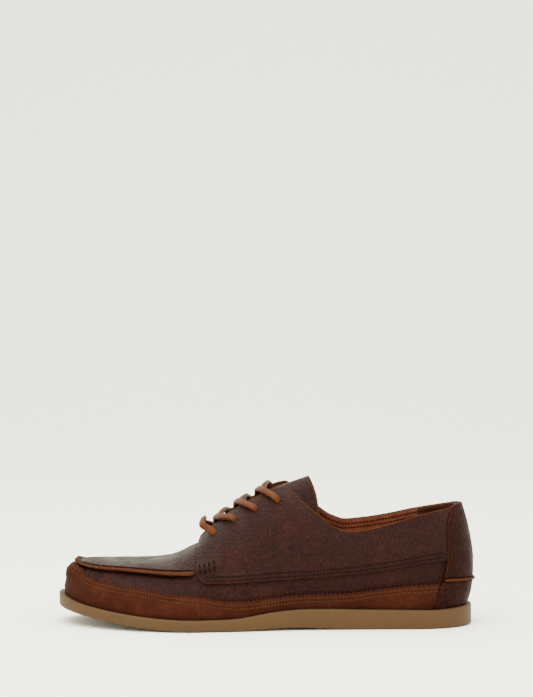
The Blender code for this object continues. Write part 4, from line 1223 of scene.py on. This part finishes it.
class SHOE_OT_tongue(bpy.types.Operator):
    """Builds the tongue, arched over the instep and standing out past the throat"""

    bl_idname = "shoe.tongue"
    bl_label = "Tongue"

    def execute(self, context):
        turns = np.linspace(TONGUE[0][0], TONGUE[-1][0], 70)
        points = [tongue_row(turn) for turn in turns]
        tongue = grid_piece("leather_tongue", points)
        bare_edges(tongue, (len(points), len(points[0])), low=1, high=1, last=1)
        thicken(tongue, TONGUE_LEATHER, outwards=False, inner=3, rim=1)
        soften_edges(tongue, 0.6 * MM)
        looks = finishes()
        coats = (looks["leather"], looks["edge"], looks["edge"], looks["lining"], looks["lining"])
        hand_over(tongue, ["tongue"], "dark_leather", *coats)
        return {"FINISHED"}


def lace_seat(side, turn, out, lift):
    """(point, outward direction) for a lace's middle over a quarter or over the open throat."""
    rim = plain_row(side * turn, [2.0])[0]
    half = abs(rim[1] - axis_y(rim[0] / SOLE_LENGTH))
    top = OVERLAY_GAP + QUARTER_LEATHER + LACE_THICKNESS / 2 + lift
    if out >= half:
        rise = rise_at_width(side * turn, out)
        normal = normal_row(side * turn, [rise])[0]
        return plain_row(side * turn, [rise])[0] + normal * top, normal
    share = out / half if half else 0.0
    own, other = (normal_row(s * turn, [1.96])[0] for s in (side, -side))
    normal = unit((own + other) * (1 - share) + own * 2 * share)
    crown = 0.15 * half * (1 - share**2)
    point = np.array([rim[0], axis_y(rim[0] / SOLE_LENGTH) + side * out, rim[2] + crown])
    return point + normal * top, normal


def lace_path(seats, steps=9, facing=None):
    """Centres, widths and ups of a lace through its seats; its flat side is carried along from the middle."""
    places = np.array([seat[0] for seat in seats])
    padded = np.vstack([2 * places[0] - places[1], places, 2 * places[-1] - places[-2]])
    centres = []
    for i in range(len(places) - 1):
        a, b, c, d = padded[i : i + 4]
        for t in np.linspace(0, 1, steps, endpoint=False):
            square, cube = 2 * a - 5 * b + 4 * c - d, 3 * b - a - 3 * c + d
            centres.append(0.5 * ((2 * b) + (c - a) * t + square * t**2 + cube * t**3))
    centres = np.array([*centres, places[-1]])
    tangents = unit(np.gradient(centres, axis=0))
    middle = len(centres) // 2
    normal = seats[len(seats) // 2][1] if facing is None else np.array(facing)
    acrosses = [None] * len(centres)
    acrosses[middle] = np.cross(tangents[middle], normal)
    for order, step in ((range(middle - 1, -1, -1), 1), (range(middle + 1, len(centres)), -1)):
        for i in order:
            acrosses[i] = square_to(acrosses[i + step], tangents[i])
    acrosses = [unit(a) for a in acrosses]
    return centres, acrosses, [np.cross(a, t) for a, t in zip(acrosses, tangents)]


def lace_outline(share):
    """A flat lace's section with rounded corners, the same at every share of its length."""
    w, t = LACE_WIDTH / 2, LACE_THICKNESS / 2
    quarter = [(a * w, b * t) for a, b in LACE_SHAPE]
    top = quarter + [(-a, b) for a, b in quarter[::-1]]
    return top + [(a, -b) for a, b in top[-2:0:-1]]


class SHOE_OT_laces(bpy.types.Operator):
    """Builds the leather lace: a bar, then crossed strands through the holes and under the quarters"""

    bl_idname = "shoe.laces"
    bl_label = "Laces"

    def execute(self, context):
        def into_hole(side, turn):
            return [lace_seat(side, turn, HOLE_FROM_RIDGE - near, lift) for near, lift in INTO_HOLE]

        def half_bar(side):
            turn = LACE_TURNS[0]
            return into_hole(side, turn) + [lace_seat(side, turn - ahead, *seat) for ahead, *seat in BAR_SEATS]

        def strand(start, row, seats):
            turn = LACE_TURNS[row]
            third = (turn - LACE_TURNS[row - 1]) / 3
            path = [lace_seat(side, turn - third * ahead, *seat) for side, ahead, *seat in seats]
            return into_hole(start, turn) + path

        def lace(name, seats, facing=None):
            return tube(name, *lace_path(seats, facing=facing), lace_outline)

        looks = finishes()
        middle = lace_seat(1, LACE_TURNS[0] - BAR_MIDDLE[0], *BAR_MIDDLE[1:])
        bar = lace("lace_bar", half_bar(-1) + [middle] + half_bar(1)[::-1], BAR_FACING)
        hand_over(bar, ["lace_bar"], "lace_leather", looks["lace"])
        for row in (1, 2, 3):
            under = lace(f"lace_under_{row}", strand(-1, row, UNDER_SEATS))
            over = lace(f"lace_over_{row}", strand(1, row, OVER_SEATS))
            choose(under, over)
            bpy.ops.object.join()
            under.name = under.data.name = f"lace_pair_{row}"
            hand_over(under, [f"lace_cross_{row}"], "lace_leather", looks["lace"])
        return {"FINISHED"}


def stitch_shape():
    """One stitch lying along x, one unit long and one unit thick: its points and faces."""
    points = [(-0.5, 0.0, 0.0)]
    for x, size in ((-0.38, 0.36), (0.0, 0.5), (0.38, 0.36)):
        points += [(x, size * math.cos(k * math.pi / 3), size * math.sin(k * math.pi / 3)) for k in range(6)]
    points.append((0.5, 0.0, 0.0))
    faces = [(0, 1 + (k + 1) % 6, 1 + k) for k in range(6)]
    for ring in (1, 7):
        faces += [(ring + k, ring + (k + 1) % 6, ring + 6 + (k + 1) % 6, ring + 6 + k) for k in range(6)]
    faces += [(13 + k, 13 + (k + 1) % 6, 19) for k in range(6)]
    return np.array(points), faces


def stitched(name, lines, slot, material, thickness=0.75 * MM, fill=0.74):
    """Lays copies of one stitch along lines of (points, normals, pitch) and joins them into one piece."""
    shape, faces = stitch_shape()
    points, joined = [], []
    for path, normals, pitch in lines:
        path, normals = np.asarray(path), np.asarray(normals)
        lengths = run_lengths(path)
        count = max(1, round(lengths[-1] / pitch))
        for i in range(count):
            ends = [(i + 0.5 + s * fill / 2) * lengths[-1] / count for s in (-1, 1)]
            start, end = (np.array([np.interp(at, lengths, path[:, k]) for k in range(3)]) for at in ends)
            up = np.array([np.interp(sum(ends) / 2, lengths, normals[:, k]) for k in range(3)])
            along = end - start
            length = np.linalg.norm(along)
            along /= length
            across = unit(np.cross(up, along))
            turned = np.stack([along * length, across * thickness, np.cross(along, across) * thickness * 0.8])
            base = len(points) * len(shape)
            points.append(shape @ turned + (start + end) / 2)
            joined += [tuple(base + k for k in face) for face in faces]
    mesh = bpy.data.meshes.new(name)
    mesh.from_pydata((np.vstack(points) + ORIGIN).tolist(), [], joined)
    mesh.update()
    return hand_over(linked(name, mesh), None, slot, material)


def surface_line(turns, rise_of, height):
    """A line over the upper's surface: points and normals."""
    points, normals = [], []
    for turn in turns:
        row, normal = surface_row(turn, [rise_of(turn)], height)
        points.append(row[0])
        normals.append(normal[0])
    return points, normals


class SHOE_OT_stitches(bpy.types.Operator):
    """Sews the mudguard, the quarters' hem, the collar and the short ridges with copied stitches"""

    bl_idname = "shoe.stitches"
    bl_label = "Stitches"

    def execute(self, context):
        pitch = context.scene.shoe_sizes.stitch_pitch
        looks = finishes()

        def rows(spans, count, from_rise, distances, height):
            made = []
            for distance in distances:
                for first, last in spans:
                    turns = np.linspace(first, last, count)
                    path = surface_line(turns, lambda t: rise_from(t, from_rise(t), distance), height)
                    made.append((*path, pitch))
            return made

        top = OVERLAY_GAP + MUDGUARD_LEATHER
        spans = ((-0.885, -0.382), (-0.370, 0.370), (0.382, 0.885))
        lines = rows(spans, 260, mudguard_top, (-2.9 * MM, -5.6 * MM), top)
        for side in (1, -1):
            turn = MUDGUARD_SPLIT - 0.0055
            high = rise_from(side * turn, mudguard_top(turn), -7.4 * MM)
            rises = np.linspace(foot_rise(side * turn, MUDGUARD_LEATHER), high, 12)
            lines.append((*surface_row(side * turn, rises, top), pitch))
        stitched("mudguard_stitches", lines, "rust_leather", looks["thread_light"], 1.15 * MM, 0.55)

        hem, collar = ((0.392, 0.884), (-0.392, -0.884)), ((0.60, 1.0), (-0.60, -1.0))
        lines = rows(hem, 200, hem_rise, (1.9 * MM, 4.7 * MM), OVERLAY_GAP + QUARTER_LEATHER)
        lines += rows(collar, 150, lambda t: 2.0, (-2.6 * MM, -6.0 * MM), -WALL)
        stitched("dark_stitches", lines, "dark_leather", looks["thread"], 1.25 * MM)

        lines = []
        top = OVERLAY_GAP + QUARTER_LEATHER + 0.4 * MM
        for side in (1, -1):
            for k in range(4):
                turn = 0.381 + 0.0105 * k
                rises = [rise_from(side * turn, 1.0, d) for d in np.linspace(-4.6 * MM, 4.6 * MM, 9)]
                path, normals = surface_row(side * turn, rises, top)
                lifts = np.array([stitched_ridge(turn, rise) for rise in rises])
                lines.append((path + normals * lifts[:, None], normals, 4.6 * MM))
        stitched("ridge_stitches", lines, "dark_leather", looks["thread"], 1.6 * MM, 0.72)
        return {"FINISHED"}


class SHOE_OT_stage(bpy.types.Operator):
    """Sets the floor, the soft lights and the camera"""

    bl_idname = "shoe.stage"
    bl_label = "Stage"

    def execute(self, context):
        reach = context.scene.shoe_sizes.floor_reach
        deselect()
        bpy.ops.mesh.primitive_grid_add(x_subdivisions=4, y_subdivisions=60, size=1.0)
        floor = context.active_object
        floor.name = floor.data.name = "floor"
        bend = 1.2
        for vertex in floor.data.vertices:
            along = (vertex.co.y + 0.5) * (reach * 2)
            angle = min(max((along - reach) / bend, 0.0), math.pi / 2)
            beyond = max(along - reach - bend * math.pi / 2, 0.0)
            depth = min(along, reach) - reach * 0.5 + bend * math.sin(angle)
            height = bend * (1 - math.cos(angle)) + beyond
            vertex.co = Vector((vertex.co.x * reach * 2, -depth, height))
        smooth(floor)
        paper = Finish("pale_floor", roughness=0.9, specular=0.1)
        paper.shader.inputs["Base Color"].default_value = PAPER
        floor.data.materials.append(paper.material)

        target = Vector(ORIGIN) + Vector((150 * MM, 0, 40 * MM))
        for name, place, size, power in LIGHTS:
            deselect()
            bpy.ops.object.light_add(type="AREA", location=target + Vector(place))
            light = context.active_object
            light.name = light.data.name = name
            light.data.size = size
            light.data.energy = power
            light.rotation_euler = (-Vector(place)).to_track_quat("-Z", "Y").to_euler()
        world = bpy.data.worlds.new("studio")
        world.use_nodes = True
        background = world.node_tree.nodes["Background"]
        background.inputs["Color"].default_value = SKY
        background.inputs["Strength"].default_value = SKY_STRENGTH
        context.scene.world = world

        tilt = math.radians(CAMERA_HEIGHT)
        aim = Vector(ORIGIN) + Vector((AIM_ALONG, 0, 0))
        deselect()
        place = aim + Vector((0, math.cos(tilt), math.sin(tilt))) * CAMERA_DISTANCE
        bpy.ops.object.camera_add(location=place)
        camera = context.active_object
        camera.rotation_euler = (math.radians(90 - CAMERA_DIP), 0, math.radians(180))
        camera.data.lens = CAMERA_LENS
        camera.data.sensor_width = 36
        context.scene.camera = camera
        return {"FINISHED"}


class VIEW3D_PT_shoe(bpy.types.Panel):
    """Lists the shoe's builders, sizes and colours"""

    bl_label = "Laced moccasin"
    bl_space_type = "VIEW_3D"
    bl_region_type = "UI"
    bl_category = "Shoe"

    def draw(self, context):
        for group in (context.scene.shoe_sizes, context.scene.shoe_colours):
            column = self.layout.column()
            for name in group.__annotations__:
                column.prop(group, name)
        for operator in OPERATORS:
            self.layout.operator(operator.bl_idname)


OPERATORS = (
    SHOE_OT_stage, SHOE_OT_sole, SHOE_OT_footbed, SHOE_OT_shell, SHOE_OT_apron, SHOE_OT_mudguards,
    SHOE_OT_quarters, SHOE_OT_heel, SHOE_OT_tongue, SHOE_OT_laces, SHOE_OT_stitches,
)
CLASSES = (ShoeColours, ShoeSizes, *OPERATORS, VIEW3D_PT_shoe)


def register():
    for cls in CLASSES:
        bpy.utils.register_class(cls)
    bpy.types.Scene.shoe_colours = PointerProperty(type=ShoeColours)
    bpy.types.Scene.shoe_sizes = PointerProperty(type=ShoeSizes)


def unregister():
    del bpy.types.Scene.shoe_sizes
    del bpy.types.Scene.shoe_colours
    for cls in reversed(CLASSES):
        bpy.utils.unregister_class(cls)


def main():
    """Registers the add-on and builds every piece in order."""
    register()
    for operator in OPERATORS:
        group, name = operator.bl_idname.split(".")
        if getattr(getattr(bpy.ops, group), name)() != {"FINISHED"}:
            raise RuntimeError(f"{operator.bl_label} was not built")


if __name__ == "__main__":
    main()
